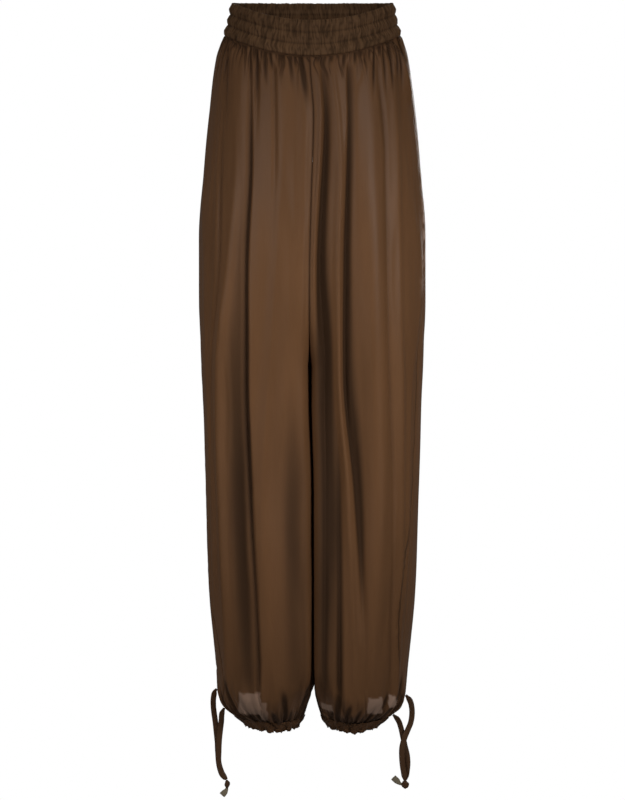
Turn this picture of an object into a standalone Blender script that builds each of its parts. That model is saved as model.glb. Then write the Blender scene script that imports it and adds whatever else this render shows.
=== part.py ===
"""Balloon trousers in thin satin, in the form they have when worn.

A shirred waistband carries two front and two back leg panels. A pocket lies behind each front
panel's side edge, a gathered casing closes each leg, and flat drawstrings hang from the casings,
knotted together at their ends. The front faces -Y and the wearer's right is at -X. The origin is
the middle of the waist. Sizes and tables are in millimetres, and MM turns them into metres.
"""

import math
from collections import namedtuple

import bmesh
import bpy
import numpy as np
from mathutils import Vector

MM = 0.001
RIGHT, LEFT = -1, 1
FRONT, BACK = 1, -1

# Driving sizes
PANEL_WALL = 1.5
BAND_WALL = 3.0
SEAM_GAP = 0.3
BAND_HEIGHT = 46.5
BAND_SEAM_LEVEL = -24.75
CROTCH_LEVEL = -520.0
CASING_TOP_LEVEL = -1047.3
PANEL_COLUMNS = 28
OUTER_COLUMNS = 18
OUTER_COLUMNS_END = 40.0
BAND_COLUMNS = 120
CASING_COLUMNS = 48
MOST_MITRE = 3.0
ANGLE_STEP, LEVEL_STEP = 0.01, 1.0

# The waist dips at the front and rises a little at the back.
FRONT_DIP_AT_SEAM = 29.0
FRONT_DIP_AT_TOP = 25.0
WAIST_TILT = 5.0
DIP_ENDS_LEVEL = -330.0

# Gathers below the waistband and above the casing
WAIST_GATHERS = 34
WAIST_GATHER_DEPTH = 2.2
HEM_GATHERS = 18
HEM_GATHER_DEPTH = 2.0
SHIRRING_DEPTH = 0.8

# The line between the legs: it wanders across the front, and between the legs it bends
# sideways, so that nothing shows through where they touch.
MIDDLE_LINE = ((-30.0, 0.0), (-60.0, -4.0), (-150.0, 1.5), (-270.0, -2.0), (-400.0, -4.5),
               (-560.0, -4.0), (-700.0, -0.5), (-1060.0, 0.0))
MIDDLE_BEND, MIDDLE_BEND_REACH = 7.0, 42.0
MIDDLE_REACH = 60.0
BEND_STARTS_LEVEL, BEND_FULL_LEVEL = -250.0, -480.0
BEND_LESSENS_LEVEL, BEND_ENDS_LEVEL = -985.0, -1015.0
INNER_LEG_CLEAR = 0.6
INNER_LEG_PLAIN = 34.0
CENTRE_SEAM_PLAIN = 9.0

# Horizontal sections of one leg: the outer half-width, the inner end (negative where the leg's
# ellipse still crosses the middle of the body), the half-depth, how far it lies to the back, and
# the side seams' angles, where 0 is the outer side and positive is to the front.
Section = namedtuple("Section", "level width inner depth shift seam_right seam_left")
SECTIONS = (
    Section(-25.0, 131.0, -131.0, 98.0, 0.0, -10.0, 14.0),
    Section(-58.0, 142.0, -137.0, 106.0, 1.0, -10.0, 15.0),
    Section(-118.0, 151.0, -124.0, 114.0, 4.0, -10.0, 15.0),
    Section(-208.0, 160.5, -97.0, 121.0, 7.0, -10.0, 10.0),
    Section(-328.0, 169.0, -52.0, 124.0, 8.0, -9.0, 13.0),
    Section(-418.0, 169.0, -19.0, 121.0, 7.0, -8.0, 24.0),
    Section(-480.0, 167.0, -3.4, 117.0, 6.0, -7.0, 28.0),
    Section(-520.0, 166.0, 0.5, 114.0, 6.0, -6.0, 29.0),
    Section(-568.0, 164.0, 1.5, 110.0, 5.0, -4.0, 29.0),
    Section(-688.0, 161.0, 1.5, 104.0, 4.0, 0.0, 31.0),
    Section(-808.0, 158.0, 1.5, 101.0, 2.0, 8.0, 44.0),
    Section(-868.0, 155.0, 1.5, 99.0, 2.0, 15.0, 49.0),
    Section(-928.0, 149.0, 1.5, 97.0, 1.0, 28.0, 46.0),
    Section(-988.0, 143.0, 2.2, 93.0, 0.0, 33.0, 33.0),
    Section(-1006.0, 142.0, 3.2, 90.0, 0.0, 30.0, 28.0),
    Section(-1018.0, 140.0, 5.0, 85.0, 0.0, 25.0, 24.0),
    Section(-1030.0, 135.0, 8.0, 77.0, 0.0, 20.0, 20.0),
    Section(-1040.0, 125.0, 11.0, 65.0, 0.0, 17.0, 17.0),
    Section(-1047.0, 115.0, 13.0, 53.0, 0.0, 16.0, 16.0),
    Section(-1054.0, 107.0, 17.0, 48.5, 0.0, 16.0, 16.0),
    Section(-1060.0, 97.0, 23.0, 45.0, 0.0, 16.0, 16.0),
)
# Below the waist the inner half of a leg's section is squarer than an ellipse, because the two
# legs lie against each other. 2 is an ellipse.
SQUARE_LEVELS = (-30.0, -90.0, -180.0, -350.0, -960.0, -1012.0, -1040.0)
SQUARENESS = (2.0, 2.4, 3.1, 3.7, 3.7, 2.7, 2.0)
PANEL_LEVELS = (
    -25.05, -36.0, -55.0, -85.0, -130.0, -190.0, -260.0, -340.0, -420.0, -475.0, -504.0,
    CROTCH_LEVEL, -580.0, -680.0, -780.0, -880.0, -960.0, -1008.0, -1028.0, -1040.0, -1047.0,
)
CASING_LEVELS = (CASING_TOP_LEVEL, -1051.5, -1055.5, -1060.0)

# The band's half-width at each height above its seam: three channels between stitch lines
BandRow = namedtuple("BandRow", "height width gather")
BAND_ROWS = (
    BandRow(0.0, 130.5, 0.2),
    BandRow(7.7, 130.8, 1.0),
    BandRow(15.5, 125.6, 0.5),
    BandRow(23.2, 126.2, 1.0),
    BandRow(31.0, 122.2, 0.5),
    BandRow(38.7, 123.4, 1.0),
    BandRow(BAND_HEIGHT, 119.8, 0.7),
)
BAND_DEPTH_RATIO = 0.75

# Folds: the distance of each from the middle of the body and its height (negative for a crease)
# at four levels, and its half-width along the cloth
FOLD_LEVELS = (-60.0, -350.0, -650.0, -950.0)
Fold = namedtuple("Fold", "leg face width x1 x2 x3 x4 h1 h2 h3 h4")
FOLDS = (
    Fold(RIGHT, FRONT, 10, 88, 94, 91, 76, -2.0, -5.0, -5.0, -3.0),
    Fold(RIGHT, FRONT, 15, 70, 70, 68, 60, 1.5, 5.0, 5.0, 3.0),
    Fold(RIGHT, FRONT, 11, 44, 46, 42, 40, -1.0, -2.0, -3.0, -2.0),
    Fold(RIGHT, FRONT, 13, 112, 121, 138, 128, 1.5, 4.0, 5.0, 2.0),
    Fold(RIGHT, FRONT, 11, 100, 108, 118, 106, -1.0, -3.5, -4.5, -2.0),
    Fold(RIGHT, FRONT, 11, 122, 137, 151, 141, -1.0, -3.0, -3.0, -1.0),
    Fold(RIGHT, FRONT, 9, 26, 22, 22, 24, 1.5, 3.0, 2.0, 1.0),
    Fold(LEFT, FRONT, 6, 20, 9, 10, 14, 2.5, 4.0, 1.0, 0.0),
    Fold(LEFT, FRONT, 8, 28, 20, 22, 24, -3.0, -7.0, -4.0, -2.0),
    Fold(LEFT, FRONT, 10, 45, 41, 41, 56, 3.0, 7.0, 5.5, 2.0),
    Fold(LEFT, FRONT, 9, 56, 56, 62, 72, -3.0, -7.0, -5.0, -2.0),
    Fold(LEFT, FRONT, 16, 80, 94, 94, 92, 1.0, 5.0, 5.5, 3.0),
    Fold(LEFT, FRONT, 11, 102, 117, 118, 112, -2.0, -4.0, -4.0, -2.0),
    Fold(LEFT, FRONT, 11, 118, 136, 133, 126, 1.0, 3.5, 3.5, 2.0),
    Fold(RIGHT, BACK, 12, 34, 40, 40, 44, 2.0, 5.0, 4.0, 2.0),
    Fold(RIGHT, BACK, 10, 56, 62, 60, 62, -2.5, -5.0, -5.0, -2.0),
    Fold(RIGHT, BACK, 14, 84, 90, 88, 84, 2.0, 5.5, 5.0, 3.0),
    Fold(RIGHT, BACK, 11, 104, 114, 112, 106, -2.0, -4.0, -4.5, -2.0),
    Fold(RIGHT, BACK, 12, 120, 134, 134, 124, 1.0, 3.5, 3.5, 2.0),
    Fold(LEFT, BACK, 10, 26, 32, 30, 36, 2.0, 4.0, 3.0, 2.0),
    Fold(LEFT, BACK, 9, 46, 50, 52, 56, -2.5, -6.0, -5.0, -2.0),
    Fold(LEFT, BACK, 15, 72, 76, 78, 78, 2.0, 6.0, 5.5, 3.0),
    Fold(LEFT, BACK, 11, 98, 104, 106, 102, -2.0, -4.5, -4.5, -2.0),
    Fold(LEFT, BACK, 12, 116, 130, 130, 122, 1.0, 4.0, 4.0, 2.0),
)

# Side pockets: how far the mouth's top lies ahead of the side seam, in degrees, and how far its
# edge stands off the pocket behind it
Pocket = namedtuple("Pocket", "leg mouth_angle gape")
POCKETS = {"pocket_right": Pocket(RIGHT, 5.0, 1.5), "pocket_left": Pocket(LEFT, 10.0, 7.0)}
MOUTH_TOP_LEVEL, MOUTH_END_LEVEL = -30.0, -128.0
MOUTH_FADE = 24.0
POCKET_COLUMNS = 12
POCKET_BEHIND_SEAM = (-5.0, -2.5)
POCKET_TUCK = 0.9
POCKET_BULGE = 6.0
POCKET_ROWS = 7

# Drawstring ends: flat ribbons of the same cloth. Each route's points are x, y, z.
RIBBON_WIDTH = 8.5
RIBBON_THICK = 1.4
RIBBON_POINT_SPACING = 7.0
RIBBON_PINCH, RIBBON_PINCH_LENGTH = 0.5, 14.0
FORWARD = Vector((0.0, -1.0, 0.0))
RIBBON_ROUTES = {
    "tie_right_outer": (
        (-144.0, -12.0, -1003.5), (-147.2, -12.5, -1007.5), (-149.3, -13.0, -1018.0),
        (-149.3, -13.5, -1030.0), (-148.0, -14.0, -1042.0), (-146.3, -14.5, -1054.0),
        (-144.8, -15.0, -1070.0), (-143.6, -15.5, -1084.0), (-142.5, -16.0, -1100.0),
        (-141.2, -16.5, -1116.0), (-137.8, -16.5, -1130.0), (-131.5, -16.5, -1140.5),
    ),
    "tie_right_inner": (
        (-133.0, -18.0, -1031.4), (-136.4, -18.8, -1040.0), (-137.2, -19.6, -1051.0),
        (-139.0, -20.2, -1066.0), (-140.6, -20.6, -1082.0), (-141.2, -20.8, -1098.0),
        (-141.2, -20.6, -1114.0), (-136.4, -20.4, -1130.0), (-129.5, -20.0, -1140.0),
    ),
    "tie_left_outer": (
        (140.3, -22.0, -1011.0), (146.8, -24.0, -1020.0), (149.2, -25.5, -1030.0),
        (149.4, -26.0, -1041.0), (147.4, -26.0, -1053.0), (142.5, -25.5, -1065.0),
        (138.0, -25.0, -1077.0), (134.8, -24.5, -1090.0), (134.4, -24.0, -1104.0),
        (135.5, -23.8, -1118.0), (137.5, -23.6, -1130.0), (139.0, -23.4, -1140.6),
    ),
    "tie_left_inner": (
        (121.4, -14.0, -1042.3), (129.0, -15.5, -1050.5), (133.0, -17.0, -1061.0),
        (136.0, -18.2, -1074.0), (139.0, -19.0, -1088.0), (142.3, -19.4, -1102.0),
        (143.4, -19.6, -1116.0), (142.0, -19.6, -1130.0), (140.5, -19.6, -1140.7),
    ),
}
TAIL_ROUTES = {
    "tail_right": ((-129.5, -18.3, -1155.0), (-132.6, -18.3, -1160.0), (-136.6, -18.0, -1164.5)),
    "tail_left": ((132.6, -21.6, -1146.4), (127.4, -22.4, -1141.8), (121.6, -23.4, -1136.2)),
}
KNOTS = {"knot_right": (-128.5, -18.3, -1147.4), "knot_left": (139.8, -21.6, -1147.2)}
KNOT_RADII = (5.6, 4.6, 6.6)

COLLECTION = "balloon_trousers"
CLOTH_BROWN = (0.112, 0.066, 0.036, 1.0)
BAND_BROWN = (0.060, 0.036, 0.020, 1.0)
SATIN_ROUGHNESS = 0.42
BAND_ROUGHNESS = 0.62


def smooth(levels, values, level):
    """Reads a table at any level, on a curve that doesn't overshoot between two rows."""
    down = -np.asarray(levels, float)
    height = np.asarray(values, float)
    here = np.clip(-np.asarray(level, float), down[0], down[-1])
    slope = np.diff(height) / np.diff(down)
    both = slope[:-1] * slope[1:]
    total = np.where(both > 0, slope[:-1] + slope[1:], 1.0)
    tangent = np.concatenate([slope[:1], np.where(both > 0, 2 * both / total, 0.0), slope[-1:]])
    row = np.clip(np.searchsorted(down, here, side="right") - 1, 0, len(down) - 2)
    step = down[row + 1] - down[row]
    part = (here - down[row]) / step
    rest = 1 - part
    return (
        rest**2 * (1 + 2 * part) * height[row]
        + part**2 * (1 + 2 * rest) * height[row + 1]
        + part * rest * step * (rest * tangent[row] - part * tangent[row + 1])
    )


def section(field, level):
    """One column of SECTIONS at any level."""
    return smooth([row.level for row in SECTIONS], [getattr(row, field) for row in SECTIONS], level)


def ease(value):
    """0 below 0, 1 above 1, and a soft step between."""
    part = np.clip(value, 0.0, 1.0)
    return part * part * (3 - 2 * part)


def leg_ellipse(level):
    """Centre and radius across the body, half-depth and shift of a leg's section."""
    width, inner = section("width", level), section("inner", level)
    return (width + inner) / 2, (width - inner) / 2, section("depth", level), section("shift", level)


def waist_dip(front, dip):
    """How far the waist lies above its level, where front is 1 at the centre front."""
    return -dip * np.maximum(front, 0.0) ** 2 - WAIST_TILT * front


def leg_point(leg, angle, level):
    """A point on the cloth's outer face, before folds, at an angle in radians."""
    centre, radius, depth, shift = leg_ellipse(level)
    fade = 1 - ease((BAND_SEAM_LEVEL - level) / (BAND_SEAM_LEVEL - DIP_ENDS_LEVEL))
    x = leg * (centre + radius * np.cos(angle))
    power = np.where(np.cos(angle) < 0, smooth(SQUARE_LEVELS, SQUARENESS, level), 2.0)
    ahead = (1 - np.minimum(np.abs(np.cos(angle)), 1.0) ** power) ** (1 / power)
    y = shift - depth * np.copysign(ahead, np.sin(angle))
    z = level + fade * waist_dip(np.sin(angle), FRONT_DIP_AT_SEAM)
    return np.stack([x, y, z], axis=-1)


def level_normal(leg, angle, level):
    """The outward direction in the section's own plane."""
    along = leg_point(leg, angle + ANGLE_STEP, level) - leg_point(leg, angle - ANGLE_STEP, level)
    size = np.hypot(along[..., 0], along[..., 1])
    across, ahead = -leg * along[..., 1] / size, leg * along[..., 0] / size
    return np.stack([across, ahead, np.zeros_like(size)], axis=-1)


def surface_normal(leg, angle, level):
    """The outward direction square to the cloth, found from two small steps along it."""
    along = leg_point(leg, angle + ANGLE_STEP, level) - leg_point(leg, angle - ANGLE_STEP, level)
    down = leg_point(leg, angle, level - LEVEL_STEP) - leg_point(leg, angle, level + LEVEL_STEP)
    normal = leg * np.cross(along, down)
    return normal / np.linalg.norm(normal, axis=-1, keepdims=True)


def centre_angle(level):
    """The angle at which a panel ends: at the middle of the body, or at the inner leg below."""
    centre, radius, depth, _ = leg_ellipse(level)
    meets = np.arccos(np.clip((SEAM_GAP / 2 - centre) / radius, -1.0, 1.0))
    power = smooth(SQUARE_LEVELS, SQUARENESS, level)
    short = np.sqrt(2 / power) * (SEAM_GAP / 2 / depth) ** (power / 2)
    return np.minimum(meets, math.pi - short)


def side_angle(leg, level):
    return np.radians(section("seam_right" if leg == RIGHT else "seam_left", level))


def arc_radius(angle, level):
    """Millimetres of cloth for each radian."""
    along = leg_point(LEFT, angle + ANGLE_STEP, level) - leg_point(LEFT, angle - ANGLE_STEP, level)
    return np.hypot(along[..., 0], along[..., 1]) / (2 * ANGLE_STEP)


def fold_height(leg, angle, level):
    """How far folds and gathers lift the cloth, as a continuous value round the leg."""
    centre, radius = leg_ellipse(level)[:2]
    height = np.zeros_like(angle)
    for fold in FOLDS:
        if fold.leg != leg:
            continue
        x = smooth(FOLD_LEVELS, (fold.x1, fold.x2, fold.x3, fold.x4), level)
        crest = smooth(FOLD_LEVELS, (fold.h1, fold.h2, fold.h3, fold.h4), level)
        place = fold.face * np.arccos(np.clip((x - centre) / radius, -1.0, 1.0))
        away = (angle - place) * arc_radius(place, level) / fold.width
        height += crest * np.exp(-away * away)
    height *= ease((BAND_SEAM_LEVEL - level) / 60.0) * ease((level + 1042.0) / 70.0)
    height += waist_gathers(leg, angle, level) + hem_gathers(leg, angle, level)
    low = ease((level + 380.0) / (CROTCH_LEVEL + 380.0))
    plain = CENTRE_SEAM_PLAIN + (INNER_LEG_PLAIN - CENTRE_SEAM_PLAIN) * low
    from_edge = (centre_angle(level) - np.abs(angle)) * arc_radius(angle, level)
    return height * ease(from_edge / plain)


def waist_gathers(leg, angle, level):
    """Small gathers, uneven in depth and length, that start at the band's seam."""
    turn = WAIST_GATHERS * angle
    uneven = 0.7 + 0.3 * np.sin(5.3 * angle + leg)
    reach = 75.0 + 35.0 * np.sin(7.1 * angle + 2.0 * leg)
    start = ease((BAND_SEAM_LEVEL - level) / 12.0)
    end = 1 - ease((BAND_SEAM_LEVEL - level - 12.0) / reach)
    from_side = np.abs(angle - side_angle(leg, level))
    flat = ease((from_side - math.radians(8.0)) / math.radians(10.0))
    return WAIST_GATHER_DEPTH * uneven * start * end * flat * np.sin(turn)


def hem_gathers(leg, angle, level):
    """Gathers that the drawstring draws in, deepest just above the casing."""
    start = ease((-955.0 - level - 20.0 * np.sin(3.7 * angle + leg)) / 70.0)
    uneven = 0.8 + 0.2 * np.sin(4.3 * angle - leg)
    return HEM_GATHER_DEPTH * uneven * start * np.sin(HEM_GATHERS * angle)


def keep_off_middle(points, leg, level):
    """Holds the cloth of a leg on its own side of the body's middle."""
    least = np.where(level <= CROTCH_LEVEL - 1, INNER_LEG_CLEAR, SEAM_GAP / 2)
    points[..., 0] = leg * np.maximum(leg * points[..., 0], least)
    return points


def lean_middle(points):
    """Moves the cloth near the middle of the body sideways, the same for every piece, and
    bends it between the legs, so that nothing shows through where they touch."""
    levels, offsets = zip(*MIDDLE_LINE)
    x, y, z = points[..., 0], points[..., 1], points[..., 2]
    bend = MIDDLE_BEND * ease((z - BEND_STARTS_LEVEL) / (BEND_FULL_LEVEL - BEND_STARTS_LEVEL))
    bend *= ease((z - BEND_ENDS_LEVEL) / (BEND_LESSENS_LEVEL - BEND_ENDS_LEVEL))
    bend *= np.exp(-((y / MIDDLE_BEND_REACH) ** 2))
    near = np.exp(-((x / MIDDLE_REACH) ** 2))
    moved = points.copy()
    moved[..., 0] = x + near * (smooth(levels, offsets, z) + bend)
    return moved


def mouth_angle(leg, level):
    """How far a pocket's mouth edge lies ahead of the side seam, in radians."""
    pocket = next(pocket for pocket in POCKETS.values() if pocket.leg == leg)
    along = (level - MOUTH_END_LEVEL) / (MOUTH_TOP_LEVEL - MOUTH_END_LEVEL)
    return math.radians(pocket.mouth_angle) * np.clip(along, 0.0, 1.0) ** 0.8


def mouth_gape(leg, angle, level):
    """How far the front panel stands off near its pocket's mouth."""
    pocket = next(pocket for pocket in POCKETS.values() if pocket.leg == leg)
    along = np.clip((level - MOUTH_END_LEVEL) / (BAND_SEAM_LEVEL - MOUTH_END_LEVEL), 0.0, 1.0)
    edge = side_angle(leg, level) + mouth_angle(leg, level)
    away = np.maximum(angle - edge, 0.0) * arc_radius(angle, level)
    return pocket.gape * np.sin(math.pi * along) ** 0.8 * (1 - ease(away / MOUTH_FADE))


def panel_grid(leg, face):
    """Angles and levels of a panel's points, from its side edge to its centre edge. The columns
    past OUTER_COLUMNS fill the strip next to the middle, where the cloth turns inwards."""
    level = np.repeat(np.array(PANEL_LEVELS)[:, None], PANEL_COLUMNS + 1, axis=1)
    side = side_angle(leg, level)
    half_gap = SEAM_GAP / 2 / arc_radius(side, level)
    start = side + face * half_gap
    if face == FRONT:
        start = start + mouth_angle(leg, level)
    end = face * centre_angle(level)
    centre, radius = leg_ellipse(level)[:2]
    turn = face * np.arccos((OUTER_COLUMNS_END - centre) / radius)
    column = np.arange(PANEL_COLUMNS + 1)[None, :]
    outer = start + (turn - start) * column / OUTER_COLUMNS
    inner = turn + (end - turn) * (column - OUTER_COLUMNS) / (PANEL_COLUMNS - OUTER_COLUMNS)
    return np.where(column < OUTER_COLUMNS, outer, inner), level


def panel_points(leg, face):
    """Outer and inner points of a panel's wall."""
    angle, level = panel_grid(leg, face)
    height = fold_height(leg, angle, level)
    if face == FRONT:
        height = height + mouth_gape(leg, angle, level)
    outer = leg_point(leg, angle, level) + height[..., None] * level_normal(leg, angle, level)
    outer = keep_off_middle(outer, leg, level)
    normal = surface_normal(leg, angle, level)
    for row in (0, -1):
        normal[row] = level_normal(leg, angle[row], level[row])
    inner = outer - PANEL_WALL * normal
    above = level[:, -1] > CROTCH_LEVEL
    edge = normal[:, -1]
    mitre_y = np.minimum(PANEL_WALL / np.maximum(np.abs(edge[:, 1]), 0.01), MOST_MITRE * PANEL_WALL)
    mitre_x = np.minimum(PANEL_WALL / np.maximum(np.abs(edge[:, 0]), 0.01), MOST_MITRE * PANEL_WALL)
    inner[:, -1] = outer[:, -1]
    inner[above, -1, 1] += face * mitre_y[above]
    inner[~above, -1, 0] += leg * mitre_x[~above]
    return outer, inner


def pocket_points(leg):
    """Points of a pocket's wall: the front panel's own, moved in, and two columns more that run
    behind the back panel's edge."""
    angle, level = panel_grid(leg, FRONT)
    angle = angle[:POCKET_ROWS, : POCKET_COLUMNS + 1]
    level = level[:POCKET_ROWS, : POCKET_COLUMNS + 1]
    side = side_angle(leg, level[:, :1])
    angle = np.concatenate([side + math.radians(turn) for turn in POCKET_BEHIND_SEAM] + [angle], axis=1)
    level = np.repeat(level[:, :1], angle.shape[1], axis=1)
    down = np.linspace(0.0, 1.0, POCKET_ROWS)[:, None]
    across = np.linspace(0.0, 1.0, angle.shape[1])[None, :]
    bulge = POCKET_BULGE * np.sin(math.pi * np.minimum(down + 0.18, 1.0)) * np.sin(math.pi * across)
    depth = PANEL_WALL + SEAM_GAP + np.maximum(bulge, 0.0)
    depth[:, : len(POCKET_BEHIND_SEAM)] += POCKET_TUCK
    height = fold_height(leg, angle, level)
    normal = surface_normal(leg, angle, level)
    face = leg_point(leg, angle, level) + height[..., None] * level_normal(leg, angle, level)
    return face - depth[..., None] * normal, face - (depth + PANEL_WALL)[..., None] * normal


def casing_points(leg):
    """Outer and inner points of a leg's casing, which is gathered on its drawstring."""
    turn = np.linspace(-math.pi, math.pi, CASING_COLUMNS + 1)[:-1]
    level, angle = np.meshgrid(np.array(CASING_LEVELS), turn, indexing="ij")
    height = hem_gathers(leg, angle, level) * np.array((1.0, 0.8, 0.9, 1.3))[:, None]
    height = height + np.array((0.0, 0.6, -0.8, 1.6))[:, None]
    normal = level_normal(leg, angle, level)
    outer = leg_point(leg, angle, level) + height[..., None] * normal
    return outer, outer - PANEL_WALL * normal


def band_points():
    """Outer and inner points of the waistband, shirred on its outer face alone."""
    turn = np.linspace(0.0, 2 * math.pi, BAND_COLUMNS + 1)[:-1]
    outer, inner = [], []
    for row in BAND_ROWS:
        share = row.height / BAND_HEIGHT
        dip = FRONT_DIP_AT_SEAM + (FRONT_DIP_AT_TOP - FRONT_DIP_AT_SEAM) * share
        z = BAND_SEAM_LEVEL + row.height + waist_dip(np.sin(turn), dip)
        uneven = 0.75 + 0.25 * np.sin(9.0 * turn + 3.0 * share)
        crest = SHIRRING_DEPTH * row.gather * uneven * np.cos(BAND_COLUMNS / 2 * turn)
        for points, reach in ((outer, crest), (inner, np.full_like(turn, -BAND_WALL))):
            x = (row.width + reach) * np.cos(turn)
            y = -(row.width * BAND_DEPTH_RATIO + reach) * np.sin(turn)
            points.append(np.stack([x, y, z], axis=-1))
    return np.array(outer), np.array(inner)


def make_material(name, colour, roughness):
    material = bpy.data.materials.new(name)
    material.use_nodes = True
    shader = material.node_tree.nodes["Principled BSDF"]
    shader.inputs["Base Color"].default_value = colour
    shader.inputs["Roughness"].default_value = roughness
    shader.inputs["Metallic"].default_value = 0.0
    material.diffuse_color = colour
    return material


def finish_mesh(name, mesh, material, collection):
    """Turns a closed mesh's faces out and links it as a named object."""
    bmesh.ops.recalc_face_normals(mesh, faces=mesh.faces)
    if mesh.calc_volume(signed=True) < 0:
        bmesh.ops.reverse_faces(mesh, faces=mesh.faces)
    data = bpy.data.meshes.new(name)
    mesh.to_mesh(data)
    mesh.free()
    data.shade_smooth()
    data.materials.append(material)
    made = bpy.data.objects.new(name, data)
    collection.objects.link(made)
    return made


def make_wall(name, outer, inner, ring, material, collection):
    """A closed wall between two grids of points. A ring has no edges at its first column."""
    rows, columns = outer.shape[:2]
    mesh = bmesh.new()
    grids = []
    for points in (lean_middle(outer), lean_middle(inner)):
        grids.append([[mesh.verts.new(Vector(point) * MM) for point in row] for row in points])
    last = columns if ring else columns - 1
    for row in range(rows - 1):
        for column in range(last):
            after = (column + 1) % columns
            for grid in grids:
                corners = [grid[row][column], grid[row + 1][column], grid[row + 1][after], grid[row][after]]
                mesh.faces.new(corners)
    for row in (0, rows - 1):
        for column in range(last):
            after = (column + 1) % columns
            mesh.faces.new(
                [grids[0][row][column], grids[0][row][after], grids[1][row][after], grids[1][row][column]]
            )
    if not ring:
        for column in (0, columns - 1):
            for row in range(rows - 1):
                mesh.faces.new(
                    [grids[0][row][column], grids[0][row + 1][column], grids[1][row + 1][column], grids[1][row][column]]
                )
    return finish_mesh(name, mesh, material, collection)


def curve_through(route, spacing):
    """Points a given distance apart on a smooth curve through a route's own points."""
    points = [Vector(point) for point in route]
    ends = [2 * points[0] - points[1]] + points + [2 * points[-1] - points[-2]]
    found = []
    for before, start, stop, after in zip(ends, ends[1:], ends[2:], ends[3:]):
        steps = max(1, round((stop - start).length / spacing))
        for step in range(steps):
            part = step / steps
            found.append(
                0.5
                * (
                    2 * start
                    + (stop - before) * part
                    + (2 * before - 5 * start + 4 * stop - after) * part**2
                    + (3 * start - before - 3 * stop + after) * part**3
                )
            )
    return found + [points[-1]]


def make_ribbon(name, route, knot, material, collection):
    """A flat ribbon along a route, with its broad face to the front, drawn narrow where it starts
    and at its knot."""
    points = curve_through(route, RIBBON_POINT_SPACING)
    mesh = bmesh.new()
    rings = []
    for index, point in enumerate(points):
        along = (points[min(index + 1, len(points) - 1)] - points[max(index - 1, 0)]).normalized()
        across = along.cross(FORWARD).normalized()
        out = across.cross(along)
        from_ends = min((point - Vector(knot)).length - KNOT_RADII[0], (point - points[0]).length)
        share = RIBBON_PINCH + (1 - RIBBON_PINCH) * ease(from_ends / RIBBON_PINCH_LENGTH)
        half, thick = across * RIBBON_WIDTH / 2 * share, out * RIBBON_THICK / 2
        corners = (half + thick, thick - half, -half - thick, half - thick)
        rings.append([mesh.verts.new((point + corner) * MM) for corner in corners])
    for before, after in zip(rings, rings[1:]):
        for corner in range(4):
            following = (corner + 1) % 4
            mesh.faces.new([before[corner], before[following], after[following], after[corner]])
    for ring in (rings[0], rings[-1]):
        mesh.faces.new(ring)
    return finish_mesh(name, mesh, material, collection)


def make_knot(name, place, material, collection):
    bpy.ops.mesh.primitive_uv_sphere_add(segments=12, ring_count=8, radius=1.0)
    made = bpy.context.object
    made.name = name
    for vertex in made.data.vertices:
        turn = math.atan2(vertex.co.y, vertex.co.x)
        wrap = 1 + 0.07 * math.sin(2 * turn + 3 * vertex.co.z)
        spot = [axis * radius * wrap for axis, radius in zip(vertex.co, KNOT_RADII)]
        vertex.co = (Vector(spot) + Vector(place)) * MM
    made.data.shade_smooth()
    made.data.materials.append(material)
    for holder in made.users_collection:
        holder.objects.unlink(made)
    collection.objects.link(made)


def main():
    for old in list(bpy.data.objects):
        bpy.data.objects.remove(old, do_unlink=True)
    collection = bpy.data.collections.new(COLLECTION)
    bpy.context.scene.collection.children.link(collection)
    satin = make_material("satin", CLOTH_BROWN, SATIN_ROUGHNESS)
    band = make_material("shirred_band", BAND_BROWN, BAND_ROUGHNESS)
    make_wall("waistband", *band_points(), True, band, collection)
    for word, leg in (("right", RIGHT), ("left", LEFT)):
        make_wall("front_" + word, *panel_points(leg, FRONT), False, satin, collection)
        make_wall("back_" + word, *panel_points(leg, BACK), False, satin, collection)
        make_wall("pocket_" + word, *pocket_points(leg), False, satin, collection)
        make_wall("hem_" + word, *casing_points(leg), True, satin, collection)
    for name, route in {**RIBBON_ROUTES, **TAIL_ROUTES}.items():
        make_ribbon(name, route, KNOTS["knot_" + name.split("_")[1]], satin, collection)
    for name, place in KNOTS.items():
        make_knot(name, place, satin, collection)


main()
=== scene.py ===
"""Looks of the balloon trousers, worn form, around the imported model.

Every cloth piece is a thin shell on its solid's own form, with its folds, gathers, puckers and
seams. Sizes and tables are in millimetres, and MM turns them into metres. The front faces -Y and
the wearer's right is at -X.
"""

import math
from collections import namedtuple

import bmesh
import bpy
import numpy as np
from bpy.props import FloatProperty, FloatVectorProperty
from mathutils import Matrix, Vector


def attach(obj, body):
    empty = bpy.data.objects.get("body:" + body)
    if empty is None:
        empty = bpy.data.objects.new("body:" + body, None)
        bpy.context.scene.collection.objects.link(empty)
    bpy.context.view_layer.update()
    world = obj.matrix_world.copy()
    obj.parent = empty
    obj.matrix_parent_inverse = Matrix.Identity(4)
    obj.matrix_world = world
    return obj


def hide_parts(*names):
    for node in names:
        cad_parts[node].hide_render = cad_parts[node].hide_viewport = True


bl_info = {
    "name": "Balloon trousers",
    "version": (1, 0, 0),
    "blender": (4, 5, 0),
    "location": "3D View > Sidebar > Trousers",
    "description": "Builds the cloth, seams, ribbons and stage of a pair of balloon trousers",
    "category": "Object",
}

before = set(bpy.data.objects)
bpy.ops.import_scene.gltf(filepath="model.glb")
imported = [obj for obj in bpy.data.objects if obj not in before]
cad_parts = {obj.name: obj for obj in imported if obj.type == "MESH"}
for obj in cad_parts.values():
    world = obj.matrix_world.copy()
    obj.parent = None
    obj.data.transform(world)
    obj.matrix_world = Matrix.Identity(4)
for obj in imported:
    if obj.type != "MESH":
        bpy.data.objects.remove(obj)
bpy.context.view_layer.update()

MM = 0.001
RIGHT, LEFT = -1, 1
FRONT, BACK = 1, -1
SIDES = (("right", RIGHT), ("left", LEFT))

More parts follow.
